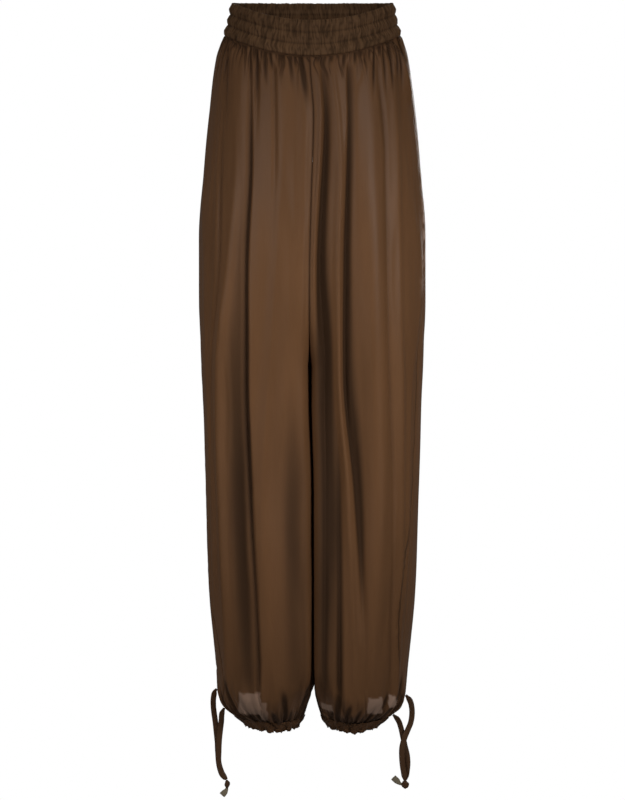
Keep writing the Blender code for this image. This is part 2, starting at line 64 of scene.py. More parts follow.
# Sizes as in the solids
BAND_WALL = 3.0
BAND_HEIGHT = 46.5
BAND_SEAM_LEVEL = -24.75
CROTCH_LEVEL = -520.0
FRONT_DIP_AT_SEAM = 29.0
FRONT_DIP_AT_TOP = 25.0
WAIST_TILT = 5.0
DIP_ENDS_LEVEL = -330.0
# How far the cloth at the middle of the body lies to the side at each level, and the sideways
# bend between the legs that lets nothing show through
MIDDLE_LINE = ((-30.0, 0.0), (-60.0, -4.0), (-150.0, 1.5), (-270.0, -2.0), (-400.0, -4.5),
               (-560.0, -4.0), (-700.0, -0.5), (-1060.0, 0.0))
MIDDLE_BEND, MIDDLE_BEND_REACH = 7.0, 42.0
MIDDLE_REACH = 60.0
BEND_STARTS_LEVEL, BEND_FULL_LEVEL = -250.0, -480.0
BEND_LESSENS_LEVEL, BEND_ENDS_LEVEL = -985.0, -1015.0

# The scene's own gaps, narrower than the solids', and how near a seam the cloth lies plain
INNER_LEG_CLEAR, SEAM_GAP = 0.25, 0.08
INNER_LEG_PLAIN, CENTRE_SEAM_PLAIN = 34.0, 4.0
CENTRE_PLAIN_LEVEL = -380.0

# Horizontal sections of one leg, as in the solids but nearer to the other leg: the outer
# half-width, the inner end, the half-depth, how far it lies to the back, and the side seams'
# angles
Section = namedtuple("Section", "level width inner depth shift seam_right seam_left")
SECTIONS = (
    Section(-25.0, 131.0, -131.0, 98.0, 0.0, -10.0, 14.0),
    Section(-58.0, 142.0, -137.0, 106.0, 1.0, -10.0, 15.0),
    Section(-118.0, 151.0, -124.0, 114.0, 4.0, -10.0, 15.0),
    Section(-208.0, 160.5, -97.0, 121.0, 7.0, -10.0, 10.0),
    Section(-328.0, 169.0, -52.0, 124.0, 8.0, -9.0, 13.0),
    Section(-418.0, 169.0, -19.0, 121.0, 7.0, -8.0, 24.0),
    Section(-480.0, 167.0, -3.4, 117.0, 6.0, -7.0, 28.0),
    Section(-520.0, 166.0, 0.5, 114.0, 6.0, -6.0, 29.0),
    Section(-568.0, 164.0, 0.3, 110.0, 5.0, -4.0, 29.0),
    Section(-688.0, 161.0, 0.3, 104.0, 4.0, 0.0, 31.0),
    Section(-808.0, 158.0, 0.3, 101.0, 2.0, 8.0, 44.0),
    Section(-868.0, 155.0, 0.3, 99.0, 2.0, 15.0, 49.0),
    Section(-928.0, 149.0, 0.3, 97.0, 1.0, 28.0, 46.0),
    Section(-988.0, 143.0, 0.8, 93.0, 0.0, 33.0, 33.0),
    Section(-1006.0, 142.0, 2.2, 90.0, 0.0, 30.0, 28.0),
    Section(-1018.0, 140.0, 5.0, 85.0, 0.0, 25.0, 24.0),
    Section(-1030.0, 135.0, 8.0, 77.0, 0.0, 20.0, 20.0),
    Section(-1040.0, 125.0, 11.0, 65.0, 0.0, 17.0, 17.0),
    Section(-1047.0, 115.0, 13.0, 53.0, 0.0, 16.0, 16.0),
    Section(-1054.0, 107.0, 17.0, 48.5, 0.0, 16.0, 16.0),
    Section(-1060.0, 97.0, 23.0, 45.0, 0.0, 16.0, 16.0),
)

# The inner half of a leg's section is squarer than an ellipse, which is 2, and squarer than the
# solids' below the hips
SQUARE_LEVELS = (-30.0, -90.0, -180.0, -350.0, -960.0, -1012.0, -1040.0)
SQUARENESS = (2.0, 2.4, 3.1, 8.0, 8.0, 2.7, 2.0)
ANGLE_STEP = 0.01

# An upright line inside each leg, round which the fine creases are laid out
LEG_AXIS_LEVELS, LEG_AXIS = (-30.0, -985.0, -1045.0), (85.0, 82.0, 62.0)
LEG_AXIS_REACH = 112.0

# The waistband's half-width at each height above its seam
BandRow = namedtuple("BandRow", "height width")
BAND_ROWS = (
    BandRow(0.0, 130.5), BandRow(7.7, 130.8), BandRow(15.5, 125.6), BandRow(23.2, 126.2),
    BandRow(31.0, 122.2), BandRow(38.7, 123.4), BandRow(BAND_HEIGHT, 119.8),
)
BAND_DEPTH_RATIO = 0.75
BAND_RADIUS = 114.9
BAND_TOP_CROWN = 1.2
CHANNEL_HEIGHT, CHANNEL_PUFF = 15.5, 0.1
BAND_COLUMNS = 960
BAND_OUTER_ROWS, BAND_TOP_ROWS, BAND_INNER_ROWS = 31, 5, 16
# The size, depth and seed of the waistband's gathers, and its rows of stitches
BAND_GATHER, BAND_GATHER_DEPTH, BAND_GATHER_SEED = 1.95, 1.5, 71
BAND_INNER_STRENGTH = 0.9
STITCH_PULL, STITCH_PULL_REACH = 0.5, 1.6
STITCH_LINES = (CHANNEL_HEIGHT, 2 * CHANNEL_HEIGHT)
STITCHES_ROUND = 200
STITCH_LENGTH, STITCH_WIDTH = 2.5, 0.5
STITCH_CLEAR, STITCH_RIDE = 0.3, 0.45

# Folds: the half-width of each towards the middle of the body and away from it, its distance
# from the middle at six levels, and its height there, which is negative for a crease
FOLD_LEVELS = (-60.0, -200.0, -350.0, -520.0, -700.0, -950.0)
Fold = namedtuple("Fold", "leg face inner outer places crests")
FOLDS = (
    Fold(RIGHT, FRONT, 5, 12, (10, 10, 10, 12, 14, 14), (1.5, 3, 3, 1, 0, 0)),
    Fold(RIGHT, FRONT, 24, 12, (44, 42, 47, 60, 72, 60), (1.5, 4, 5, 5.5, 6, 3.5)),
    Fold(RIGHT, FRONT, 3, 5.5, (90, 91, 95.5, 97, 91, 79), (-1.5, -4.7, -5, -6, -6, -5)),
    Fold(RIGHT, FRONT, 14, 20, (108, 108, 110, 112, 110, 98), (0, -1, -2, -5, -6.5, -4)),
    Fold(RIGHT, FRONT, 9, 9, (104, 107, 121, 138, 137, 128), (1, 2.2, 3, 5, 5, 2.5)),
    Fold(RIGHT, FRONT, 5, 5, (128, 134, 138, 150, 153, 145), (-1, -2, -2.5, -2.5, -1, -1)),
    Fold(RIGHT, FRONT, 32, 24, (31, 31, 31, 31, 31, 28), (0, 0, 0, -1, -4.6, -4)),
    Fold(RIGHT, FRONT, 3.5, 3.5, (55, 55, 55, 55, 55, 55), (-3, -1.6, 0, 0, 0, 0)),
    Fold(RIGHT, FRONT, 3.5, 4, (80, 84, 88, 90, 90, 90), (-2.6, 0, 0, 0, 0, 0)),
    Fold(RIGHT, FRONT, 4, 4, (126, 127, 127, 127, 127, 127), (-3, 0, 0, 0, 0, 0)),
    Fold(LEFT, FRONT, 4, 4, (11, 10, 6.5, 6.5, 8, 8), (2, 3.5, 3.5, 1, 0, 0)),
    Fold(LEFT, FRONT, 4.5, 7, (19, 18, 15, 18, 18, 16), (-4, -7.5, -8.5, -7, -4, -3)),
    Fold(LEFT, FRONT, 27, 14, (24, 24, 24, 24, 25, 22), (0, -0.5, -2.5, -7.5, -8, -5)),
    Fold(LEFT, FRONT, 7, 5, (32, 39, 40, 42.5, 53, 62), (3, 5, 6, 7, 6, 3)),
    Fold(LEFT, FRONT, 3.5, 7, (55, 53, 50, 50, 64, 80), (-5, -8, -9, -9.5, -6, 0)),
    Fold(LEFT, FRONT, 6, 14, (58, 58, 58, 60, 70, 80), (0, 0, -1, -4, -5, -1)),
    Fold(LEFT, FRONT, 18, 14, (80, 86, 90, 93, 98, 86), (1, 3.5, 5.5, 7, 7, 4)),
    Fold(LEFT, FRONT, 5, 5, (96, 107, 109, 113, 118, 118), (-2.6, -2.6, -2.6, -3, -2.5, -2)),
    Fold(LEFT, FRONT, 8, 8, (118, 124, 126, 129, 132, 126), (1.5, 2.5, 3, 3.5, 3, 2)),
    Fold(LEFT, FRONT, 4, 4.5, (38, 38, 38, 38, 40, 40), (0, 0, 0, 0, -3, -6.5)),
    Fold(LEFT, FRONT, 8, 6, (23, 23, 23, 23, 23, 24), (0, 0, 0, 0, 1, 2.5)),
    Fold(RIGHT, BACK, 12, 9, (34, 37, 40, 40, 40, 44), (2, 3.5, 5, 4.5, 4, 2)),
    Fold(RIGHT, BACK, 7, 9, (56, 59, 62, 61, 60, 62), (-2.5, -4, -5, -5, -5, -2)),
    Fold(RIGHT, BACK, 15, 11, (84, 87, 90, 89, 88, 84), (2, 4, 5.5, 5.3, 5, 3)),
    Fold(RIGHT, BACK, 8, 10, (104, 109, 114, 113, 112, 106), (-2, -3, -4, -4.3, -4.5, -2)),
    Fold(RIGHT, BACK, 10, 9, (120, 127, 134, 134, 134, 124), (1, 2.3, 3.5, 3.5, 3.5, 2)),
    Fold(LEFT, BACK, 8, 9, (26, 29, 32, 31, 30, 36), (2, 3, 4, 3.5, 3, 2)),
    Fold(LEFT, BACK, 6, 8, (46, 48, 50, 51, 52, 56), (-2.5, -4.5, -6, -5.5, -5, -2)),
    Fold(LEFT, BACK, 16, 12, (72, 74, 76, 77, 78, 78), (2, 4, 6, 5.8, 5.5, 3)),
    Fold(LEFT, BACK, 8, 10, (98, 101, 104, 105, 106, 102), (-2, -3.5, -4.5, -4.5, -4.5, -2)),
    Fold(LEFT, BACK, 10, 10, (116, 123, 130, 130, 130, 122), (1, 2.5, 4, 4, 4, 2)),
)
# How much the folds wander and swell as they come down, and where they end
FOLD_WANDER, FOLD_SWELL = 1.3, 0.18
FOLDS_END_LEVEL, FOLDS_END_LENGTH = -1042.0, 70.0

# Fine creases: size along the cloth's width and along its length, height, and how far those
# at the waist and the hem reach from the seam
Ripple = namedtuple("Ripple", "across along height")
LONG_RIPPLES = (Ripple(22.0, 420.0, 1.3), Ripple(11.0, 260.0, 0.45), Ripple(5.0, 130.0, 0.12))
WAIST_RIPPLES = (Ripple(4.5, 60.0, 0.8), Ripple(9.0, 90.0, 1.6), Ripple(16.0, 150.0, 1.8))
WAIST_REACHES = (16.0, 62.0, 150.0)
HEM_RIPPLES = (Ripple(6.0, 40.0, 0.8), Ripple(11.0, 55.0, 2.2), Ripple(20.0, 90.0, 3.0))
HEM_REACHES = (20.0, 55.0, 110.0)

# Short creases that run off from a gathered seam: how far apart, half-width, depth and length
Pleats = namedtuple("Pleats", "apart wide deep short long seed")
WAIST_PLEATS = (
    Pleats(12.5, 2.4, 4.2, 18.0, 120.0, 3),
    Pleats(7.0, 1.7, 2.6, 9.0, 42.0, 9),
)
HEM_PLEATS = (
    Pleats(23.0, 4.4, 9.0, 25.0, 95.0, 5),
    Pleats(10.5, 2.4, 4.2, 10.0, 42.0, 13),
)

# Painted shade in creases and seams, from 0 to 1, and how far from a seam that reaches
CREASE_FULL_DEPTH, PLEAT_FULL_DEPTH = 6.8, 2.0
PLEAT_SHADE = 0.95
SEAM_SHADE, CENTRE_SHADE, INNER_LEG_SHADE, SEAM_SHADE_REACH = 0.75, 0.9, 0.1, 1.6
SHADE_PLAIN = 5.0
BAND_SEAM_SHADE, BAND_SEAM_SHADE_REACH = 0.85, 3.5
CASING_SHADE, CASING_SHEER_LIGHT = 0.42, 0.6

# Pale painted highlights on the left side seam: how strong, how far from it, and from and to which
# level
GLINT_STRENGTH, GLINT_REACH = 0.75, 10.0
GLINT_START_LEVEL, GLINT_END_LEVEL = -165.0, -420.0
# How far fine gathers run from the waist seam and the casing
GATHERED_WAIST, GATHERED_HEM = 85.0, 80.0
# Where a hem hangs lower: the place across, how wide and how far down
HemDrop = namedtuple("HemDrop", "place reach drop")
HEM_DROPS = (HemDrop(-50.0, 26.0, 2.5), HemDrop(64.0, 24.0, 3.5))
HEM_DROP_STARTS, HEM_DROP_FULL = -990.0, -1050.0

# Puckers along the side seams, and the gathers that the drawstring draws in
PUCKER_SIZE = 7.5
PUCKER_REACH = 9.0
PUCKER_HEIGHT = {RIGHT: 0.45, LEFT: 1.1}
PUCKER_START_LEVEL = -120.0
HEM_GATHERS = 18
HEM_GATHER_DEPTH = 2.1
HEM_GATHER_START_LEVEL = -955.0

# How a panel's cloth sinks at its seams and tucks in behind the waistband and the casing
SEAM_DIP, SEAM_DIP_REACH = 0.8, 1.8
TUCK_AT_WAIST, TUCK_AT_HEM = 2.2, 1.2
SEAM_ALLOWANCE = 3.5

# The panels' grids: columns, closer together at narrow creases, and the steps between rows
OUTER_COLUMNS, INNER_COLUMNS = 108, 42
CROWD_SAMPLES, CROWDING, CROWD_REACH, NARROW_FOLD = 240, 1.5, 8.0, 12
OUTER_COLUMNS_END = 40.0
PANEL_TOP_LEVEL, PANEL_BOTTOM_LEVEL = -21.5, -1048.0
WAIST_ZONE_END, HEM_ZONE_START = -100.0, -965.0
WAIST_ROW, MIDDLE_ROW, HEM_ROW = 2.4, 4.1, 2.6

# Side pockets, as in the solids
Pocket = namedtuple("Pocket", "mouth_angle gape")
POCKETS = {RIGHT: Pocket(5.0, 1.5), LEFT: Pocket(10.0, 7.0)}
MOUTH_TOP_LEVEL, MOUTH_END_LEVEL = -30.0, -128.0
MOUTH_FADE = 24.0
POCKET_END_LEVEL = -260.0
POCKET_BEHIND_SEAM = -5.0
POCKET_REACH = 0.667
POCKET_DEPTH = 1.9
POCKET_BULGE = 6.0
POCKET_ROWS, POCKET_COLUMNS = 70, 60

# The casing at each hem: the channel that holds the drawstring, and the ruffle below it
CASING_COLUMNS = 480
CASING_TOP_LEVEL, CASING_END_LEVEL = -1046.0, -1061.0
CASING_ROWS = 18

# Drawstring ends, on the solids' own routes
RIBBON_WIDTH = 8.5
RIBBON_THICK = 1.1
RIBBON_SPACING = 2.0
RIBBON_PINCH, RIBBON_PINCH_LENGTH = 0.45, 9.0
RIBBON_SIDES = 10
RIBBON_TWIST, TAIL_TWIST = 0.5, 0.3
TAIL_WIDTH = 9.5
FORWARD = Vector((0.0, -1.0, 0.0))
RIBBON_ROUTES = {
    "tie_right_outer": (
        (-144.0, -12.0, -1003.5), (-147.2, -12.5, -1007.5), (-149.3, -13.0, -1018.0),
        (-149.3, -13.5, -1030.0), (-148.0, -14.0, -1042.0), (-146.3, -14.5, -1054.0),
        (-144.8, -15.0, -1070.0), (-143.6, -15.5, -1084.0), (-142.5, -16.0, -1100.0),
        (-141.2, -16.5, -1116.0), (-137.8, -16.5, -1130.0), (-131.5, -16.5, -1140.5),
    ),
    "tie_right_inner": (
        (-133.0, -18.0, -1031.4), (-136.4, -18.8, -1040.0), (-137.2, -19.6, -1051.0),
        (-139.0, -20.2, -1066.0), (-140.6, -20.6, -1082.0), (-141.2, -20.8, -1098.0),
        (-141.2, -20.6, -1114.0), (-136.4, -20.4, -1130.0), (-129.5, -20.0, -1140.0),
    ),
    "tie_left_outer": (
        (140.3, -22.0, -1011.0), (146.8, -24.0, -1020.0), (149.2, -25.5, -1030.0),
        (149.4, -26.0, -1041.0), (147.4, -26.0, -1053.0), (142.5, -25.5, -1065.0),
        (138.0, -25.0, -1077.0), (134.8, -24.5, -1090.0), (134.4, -24.0, -1104.0),
        (135.5, -23.8, -1118.0), (137.5, -23.6, -1130.0), (139.0, -23.4, -1140.6),
    ),
    "tie_left_inner": (
        (121.4, -14.0, -1042.3), (129.0, -15.5, -1050.5), (133.0, -17.0, -1061.0),
        (136.0, -18.2, -1074.0), (139.0, -19.0, -1088.0), (142.3, -19.4, -1102.0),
        (143.4, -19.6, -1116.0), (142.0, -19.6, -1130.0), (140.5, -19.6, -1140.7),
    ),
}
TAIL_ROUTES = {
    "tail_right": ((-129.5, -18.3, -1155.0), (-132.6, -18.3, -1160.0), (-136.6, -18.0, -1164.5)),
    "tail_left": ((132.6, -21.6, -1146.4), (127.4, -22.4, -1141.8), (121.6, -23.4, -1136.2)),
}
KNOTS = {"knot_right": (-128.5, -18.3, -1147.4), "knot_left": (139.8, -21.6, -1147.2)}
KNOT_RADII = (5.6, 4.6, 6.6)
KNOT_SHARES = {"knot_right": (0.62, 0.8, 0.95), "knot_left": (0.95, 0.9, 0.95)}

# Materials. A pattern's sizes are its scale along each axis
THREADS, THREAD_WANDER = 2200.0, 0.6
WARP_SCALE, WEFT_SCALE = 0.31, 0.12
SLUB_SIZES = (0.35, 0.012, 0.35)
GATHER_SIZES = (150.0, 15.0, 1.0)
GATHER_BUMP = 0.0022
# Which heights of the fine gathers get painted crease shade
GATHER_CREASE_SHADE = (0.5, 0.36)
FIELD_SIZES = (26.0, 26.0, 5.0)
TINT_SHARE = 0.35
SHEER_CLEARNESS = 0.12
# How much painted crease shade darkens the colour, and how much rougher the cloth is there
CREASE_DARKENING, CREASE_ROUGHNESS = 0.7, 0.3
ROUGHNESS_FALL, ROUGHNESS_RISE = 0.05, 0.07
SHEEN_ROUGHNESS, SHEEN_TINT = 0.45, (1.0, 0.86, 0.72, 1.0)
SPECULAR = 0.13

# Stage
LIGHT_TARGET = (0.0, 0.0, -0.55)
Lamp = namedtuple("Lamp", "name place width height spread")
LAMPS = (
    Lamp("key", (1.2, -1.6, 0.15), 0.7, 0.7, math.radians(40)),
    Lamp("fill", (-1.3, -1.65, 0.1), 0.8, 0.8, math.radians(40)),
    Lamp("top", (0.0, -0.3, 1.7), 1.4, 1.2, math.pi),
    Lamp("back", (0.5, 2.3, 0.2), 1.2, 1.2, math.radians(60)),
)
CAMERA_TARGET = (0.0, 0.0, -0.568)
CAMERA_LENS = 129.4
WORLD_LIGHT = 0.11
FLOOR_GLOW = 1.0

# Places near the hems where a single layer of the cloth is a little see-through, with painted light
# coming through it: x and z from and to
SHEER_EDGE, SHEER_WOBBLE = 2.4, 2.0
SheerLightPatch = namedtuple("SheerLightPatch", "left right low high strength")
SHEER_LIGHT_PATCHES = (
    SheerLightPatch(-111.0, -76.0, -1033.0, -996.0, 0.55),
    SheerLightPatch(-80.0, -66.0, -1043.0, -1010.0, 0.4),
    SheerLightPatch(12.0, 31.0, -1031.0, -1017.0, 0.65),
    SheerLightPatch(81.0, 104.0, -1031.0, -1002.0, 0.65),
    SheerLightPatch(113.0, 125.0, -1024.0, -1002.0, 0.85),
)


def smooth(levels, values, level):
    """Reads a table at any level, on a curve that doesn't overshoot between two rows."""
    down = -np.asarray(levels, float)
    height = np.asarray(values, float)
    here = np.clip(-np.asarray(level, float), down[0], down[-1])
    slope = np.diff(height) / np.diff(down)
    both = slope[:-1] * slope[1:]
    total = np.where(both > 0, slope[:-1] + slope[1:], 1.0)
    tangent = np.concatenate([slope[:1], np.where(both > 0, 2 * both / total, 0.0), slope[-1:]])
    row = np.clip(np.searchsorted(down, here, side="right") - 1, 0, len(down) - 2)
    step = down[row + 1] - down[row]
    part = (here - down[row]) / step
    rest = 1 - part
    return (
        rest**2 * (1 + 2 * part) * height[row]
        + part**2 * (1 + 2 * rest) * height[row + 1]
        + part * rest * step * (rest * tangent[row] - part * tangent[row + 1])
    )


def ease(value):
    """0 below 0, 1 above 1, and a soft step between."""
    part = np.clip(value, 0.0, 1.0)
    return part * part * (3 - 2 * part)


def scatter(column, row, seed):
    """A fixed number from -1 to 1 for each cell of a grid."""
    value = np.sin(column * 127.1 + row * 311.7 + seed * 74.7) * 43758.5453
    return 2 * (value - np.floor(value)) - 1


def ripple(across, along, seed):
    """A smooth uneven surface, from -1 to 1, about one wave every two units."""
    column, row = np.floor(across), np.floor(along)
    right, up = ease(across - column), ease(along - row)
    low = scatter(column, row, seed) * (1 - right) + scatter(column + 1, row, seed) * right
    row = row + 1
    high = scatter(column, row, seed) * (1 - right) + scatter(column + 1, row, seed) * right
    return low * (1 - up) + high * up


def wander(value, seed):
    """A smooth uneven line, from -1 to 1."""
    return ripple(value, 0.5, seed)


def bell(value):
    """1 at 0, falling softly to nothing on both sides."""
    return np.exp(-(value**2))


def section(field, level):
    """One column of SECTIONS at any level."""
    return smooth([row.level for row in SECTIONS], [getattr(row, field) for row in SECTIONS], level)


def leg_ellipse(level):
    """Centre and radius across the body, half-depth and shift of a leg's section."""
    width, inner = section("width", level), section("inner", level)
    depth, shift = section("depth", level), section("shift", level)
    return (width + inner) / 2, (width - inner) / 2, depth, shift


def waist_dip(front, dip):
    """How far the waist lies above its level, where front is 1 at the centre front."""
    return -dip * np.maximum(front, 0.0) ** 2 - WAIST_TILT * front


def leg_point(leg, angle, level):
    """A point on the cloth before its folds, at an angle in radians."""
    centre, radius, depth, shift = leg_ellipse(level)
    fade = 1 - ease((BAND_SEAM_LEVEL - level) / (BAND_SEAM_LEVEL - DIP_ENDS_LEVEL))
    x = leg * (centre + radius * np.cos(angle))
    power = np.where(np.cos(angle) < 0, smooth(SQUARE_LEVELS, SQUARENESS, level), 2.0)
    ahead = (1 - np.minimum(np.abs(np.cos(angle)), 1.0) ** power) ** (1 / power)
    y = shift - depth * np.copysign(ahead, np.sin(angle))
    z = level + fade * waist_dip(np.sin(angle), FRONT_DIP_AT_SEAM)
    return np.stack([x, y, z], axis=-1)


def level_normal(leg, angle, level):
    """The outward direction in the section's own plane."""
    along = leg_point(leg, angle + ANGLE_STEP, level) - leg_point(leg, angle - ANGLE_STEP, level)
    size = np.hypot(along[..., 0], along[..., 1])
    across, ahead = -leg * along[..., 1] / size, leg * along[..., 0] / size
    return np.stack([across, ahead, np.zeros_like(size)], axis=-1)


def centre_angle(level):
    """The angle at which a panel ends: at the middle of the body, or at the inner leg below."""
    centre, radius, depth, _ = leg_ellipse(level)
    meets = np.arccos(np.clip((SEAM_GAP / 2 - centre) / radius, -1.0, 1.0))
    power = smooth(SQUARE_LEVELS, SQUARENESS, level)
    short = np.sqrt(2 / power) * (SEAM_GAP / 2 / depth) ** (power / 2)
    return np.minimum(meets, math.pi - short)


def side_angle(leg, level):
    return np.radians(section("seam_right" if leg == RIGHT else "seam_left", level))


def arc_radius(angle, level):
    """Millimetres of cloth for each radian."""
    along = leg_point(LEFT, angle + ANGLE_STEP, level) - leg_point(LEFT, angle - ANGLE_STEP, level)
    return np.hypot(along[..., 0], along[..., 1]) / (2 * ANGLE_STEP)


def arc_place(leg, angle, level):
    """Millimetres round an upright line inside the leg, so that what follows it hangs straight."""
    point = leg_point(leg, angle, level)
    axis = smooth(LEG_AXIS_LEVELS, LEG_AXIS, level)
    return np.arctan2(-point[..., 1], leg * point[..., 0] - axis) * LEG_AXIS_REACH


def ripples(rows, leg, angle, level, seed, reaches=None, away=None):
    """Adds rows of fine creases, each fading within its own reach of a seam."""
    place = arc_place(leg, angle, level)
    height = np.zeros_like(angle)
    for index, row in enumerate(rows):
        lean = 1.6 * ripple(place / 40.0, level / 190.0, seed + 31 + index)
        wave = ripple(place / row.across + lean, level / row.along, seed + index)
        if reaches:
            wave = 2.0 * np.abs(wave) ** 0.8 - 0.8
            uneven = 0.7 + 0.45 * wander(place / (2.3 * row.across), seed + 7)
            wave = wave * (1 - ease(away / (reaches[index] * uneven)))
        height += row.height * wave
    return height


def fold_place(fold, index, level):
    """The angle of a fold at each level: it wanders a little as it comes down."""
    centre, radius = leg_ellipse(level)[:2]
    x = smooth(FOLD_LEVELS, fold.places, level) + FOLD_WANDER * wander(level / 120.0, 50 + index)
    return fold.face * np.arccos(np.clip((x - centre) / radius, -1.0, 1.0))


def main_folds(leg, angle, level):
    """The folds of FOLDS."""
    height = np.zeros_like(angle)
    for index, fold in enumerate(FOLDS):
        if fold.leg != leg:
            continue
        swell = 1 + FOLD_SWELL * wander(level / 150.0, 90 + index)
        crest = smooth(FOLD_LEVELS, fold.crests, level) * swell
        place = fold_place(fold, index, level)
        away = fold.face * (angle - place) * arc_radius(place, level)
        width = np.where(away > 0, fold.inner, fold.outer)
        height += crest * bell(away / width)
    ends = ease((BAND_SEAM_LEVEL - level) / 30.0)
    return height * ends * ease((level - FOLDS_END_LEVEL) / FOLDS_END_LENGTH)


def pleats(rows, leg, angle, level, away):
    """Depth of the short creases that run off from a gathered seam, each its own length."""
    place = arc_place(leg, angle, level)
    depth = np.zeros_like(angle)
    for row in rows:
        cell = np.floor(place / row.apart)
        for column in (cell - 1, cell, cell + 1):
            number = scatter(column, row.seed, leg)
            length = row.short + (row.long - row.short) * (0.5 + 0.5 * number) ** 2
            offset = 0.5 + 0.32 * scatter(column, row.seed + 1, leg)
            slant = 0.06 * scatter(column, row.seed + 2, leg) * away
            sideways = place - column * row.apart - offset * row.apart - slant
            wide = row.wide * (1 + away / row.long)
            deep = row.deep * (0.75 + 0.25 * scatter(column, row.seed + 3, leg))
            fade = 1 - ease(away / length)
            depth = np.maximum(depth, deep * fade * bell(sideways / wide))
    return depth


def puckers(leg, angle, level):
    """Short uneven creases across the side seam, where its thread draws the cloth up."""
    away = (angle - side_angle(leg, level)) * arc_radius(angle, level)
    lean = 0.5 * away / PUCKER_SIZE
    wave = ripple(level / PUCKER_SIZE + lean, away / 14.0, 5 + leg)
    strength = 0.55 + 0.6 * wander(level / 60.0, 8 + leg)
    near = bell(away / PUCKER_REACH) * ease((PUCKER_START_LEVEL - level) / 60.0)
    return PUCKER_HEIGHT[leg] * np.maximum(strength, 0.0) * wave * near


def hem_gathers(leg, angle, level):
    """Gathers that the drawstring draws in, deepest just above the casing."""
    start = ease((HEM_GATHER_START_LEVEL - level - 20.0 * np.sin(3.7 * angle + leg)) / 70.0)
    uneven = 0.8 + 0.2 * np.sin(4.3 * angle - leg)
    turn = HEM_GATHERS * angle + 0.9 * np.sin(2.6 * angle + leg)
    return HEM_GATHER_DEPTH * uneven * start * np.sin(turn)


def cloth_height(leg, angle, level):
    """How far the cloth stands off its leg's plain form, and how much shade is painted into its
    creases, as continuous values round the leg."""
    below_band = np.maximum(BAND_SEAM_LEVEL - level, 0.0)
    above_casing = np.maximum(level - CASING_TOP_LEVEL, 0.0)
    loose = ease(below_band / 120.0) * ease(above_casing / 60.0)
    folds = main_folds(leg, angle, level)
    ripple_height = loose * ripples(LONG_RIPPLES, leg, angle, level, 11 + leg)
    from_side = np.abs(angle - side_angle(leg, level)) * arc_radius(angle, level)
    gathered = ease(below_band / 4.0) * (0.35 + 0.65 * ease((from_side - 6.0) / 22.0))
    ripple_height += gathered * ripples(
        WAIST_RIPPLES, leg, angle, level, 23 + leg, WAIST_REACHES, below_band
    )
    ripple_height += ripples(HEM_RIPPLES, leg, angle, level, 37 + leg, HEM_REACHES, above_casing)
    ripple_height += hem_gathers(leg, angle, level) + puckers(leg, angle, level)
    drawn = gathered * pleats(WAIST_PLEATS, leg, angle, level, below_band)
    drawn += pleats(HEM_PLEATS, leg, angle, level, above_casing)
    low = ease((level - CENTRE_PLAIN_LEVEL) / (CROTCH_LEVEL - CENTRE_PLAIN_LEVEL))
    plain = CENTRE_SEAM_PLAIN + (INNER_LEG_PLAIN - CENTRE_SEAM_PLAIN) * low
    from_edge = (centre_angle(level) - np.abs(angle)) * arc_radius(angle, level)
    freedom = ease(from_edge / plain)
    # Painted shade: darker in deep folds, in the pleats at the waist and hem, and just under the
    # band seam
    broad = ease(-(folds + 0.5 * ripple_height) / CREASE_FULL_DEPTH)
    shade = np.maximum(broad, PLEAT_SHADE * ease(drawn / PLEAT_FULL_DEPTH))
    shade = shade * ease(from_edge / SHADE_PLAIN)
    shade = np.maximum(shade, BAND_SEAM_SHADE * bell(below_band / BAND_SEAM_SHADE_REACH))
    return freedom * (folds + ripple_height - drawn), shade


def lean_middle(points):
    """Moves the cloth near the middle of the body sideways, the same for every piece, and
    bends it between the legs, so that nothing shows through where they touch."""
    levels, offsets = zip(*MIDDLE_LINE)
    x, y, z = points[..., 0], points[..., 1], points[..., 2]
    bend = MIDDLE_BEND * ease((z - BEND_STARTS_LEVEL) / (BEND_FULL_LEVEL - BEND_STARTS_LEVEL))
    bend *= ease((z - BEND_ENDS_LEVEL) / (BEND_LESSENS_LEVEL - BEND_ENDS_LEVEL))
    bend *= bell(y / MIDDLE_BEND_REACH)
    moved = points.copy()
    lessened = 1 - 0.5 * ease(y / MIDDLE_REACH)
    moved[..., 0] = x + bell(x / MIDDLE_REACH) * (smooth(levels, offsets, z) * lessened + bend)
    low = ease((HEM_DROP_STARTS - z) / (HEM_DROP_STARTS - HEM_DROP_FULL))
    for hem in HEM_DROPS:
        moved[..., 2] -= low * hem.drop * bell((x - hem.place) / hem.reach)
    return moved


def mouth_angle(leg, level):
    """How far a pocket's mouth edge lies ahead of the side seam, in radians."""
    along = (level - MOUTH_END_LEVEL) / (MOUTH_TOP_LEVEL - MOUTH_END_LEVEL)
    return math.radians(POCKETS[leg].mouth_angle) * np.clip(along, 0.0, 1.0) ** 0.8


def mouth_gape(leg, angle, level):
    """How far the front panel stands off near its pocket's mouth."""
    along = np.clip((level - MOUTH_END_LEVEL) / (BAND_SEAM_LEVEL - MOUTH_END_LEVEL), 0.0, 1.0)
    edge = side_angle(leg, level) + mouth_angle(leg, level)
    away = np.maximum(angle - edge, 0.0) * arc_radius(angle, level)
    return POCKETS[leg].gape * np.sin(math.pi * along) ** 0.8 * (1 - ease(away / MOUTH_FADE))


def panel_levels():
    """Levels of a panel's rows: close together at the gathers, wider between them."""
    zones = (
        (PANEL_TOP_LEVEL, WAIST_ZONE_END, WAIST_ROW),
        (WAIST_ZONE_END, HEM_ZONE_START, MIDDLE_ROW),
        (HEM_ZONE_START, PANEL_BOTTOM_LEVEL, HEM_ROW),
    )
    rows = []
    for start, end, step in zones:
        rows.append(np.linspace(start, end, round((start - end) / step) + 1)[:-1])
    return np.concatenate(rows + [[PANEL_BOTTOM_LEVEL]])


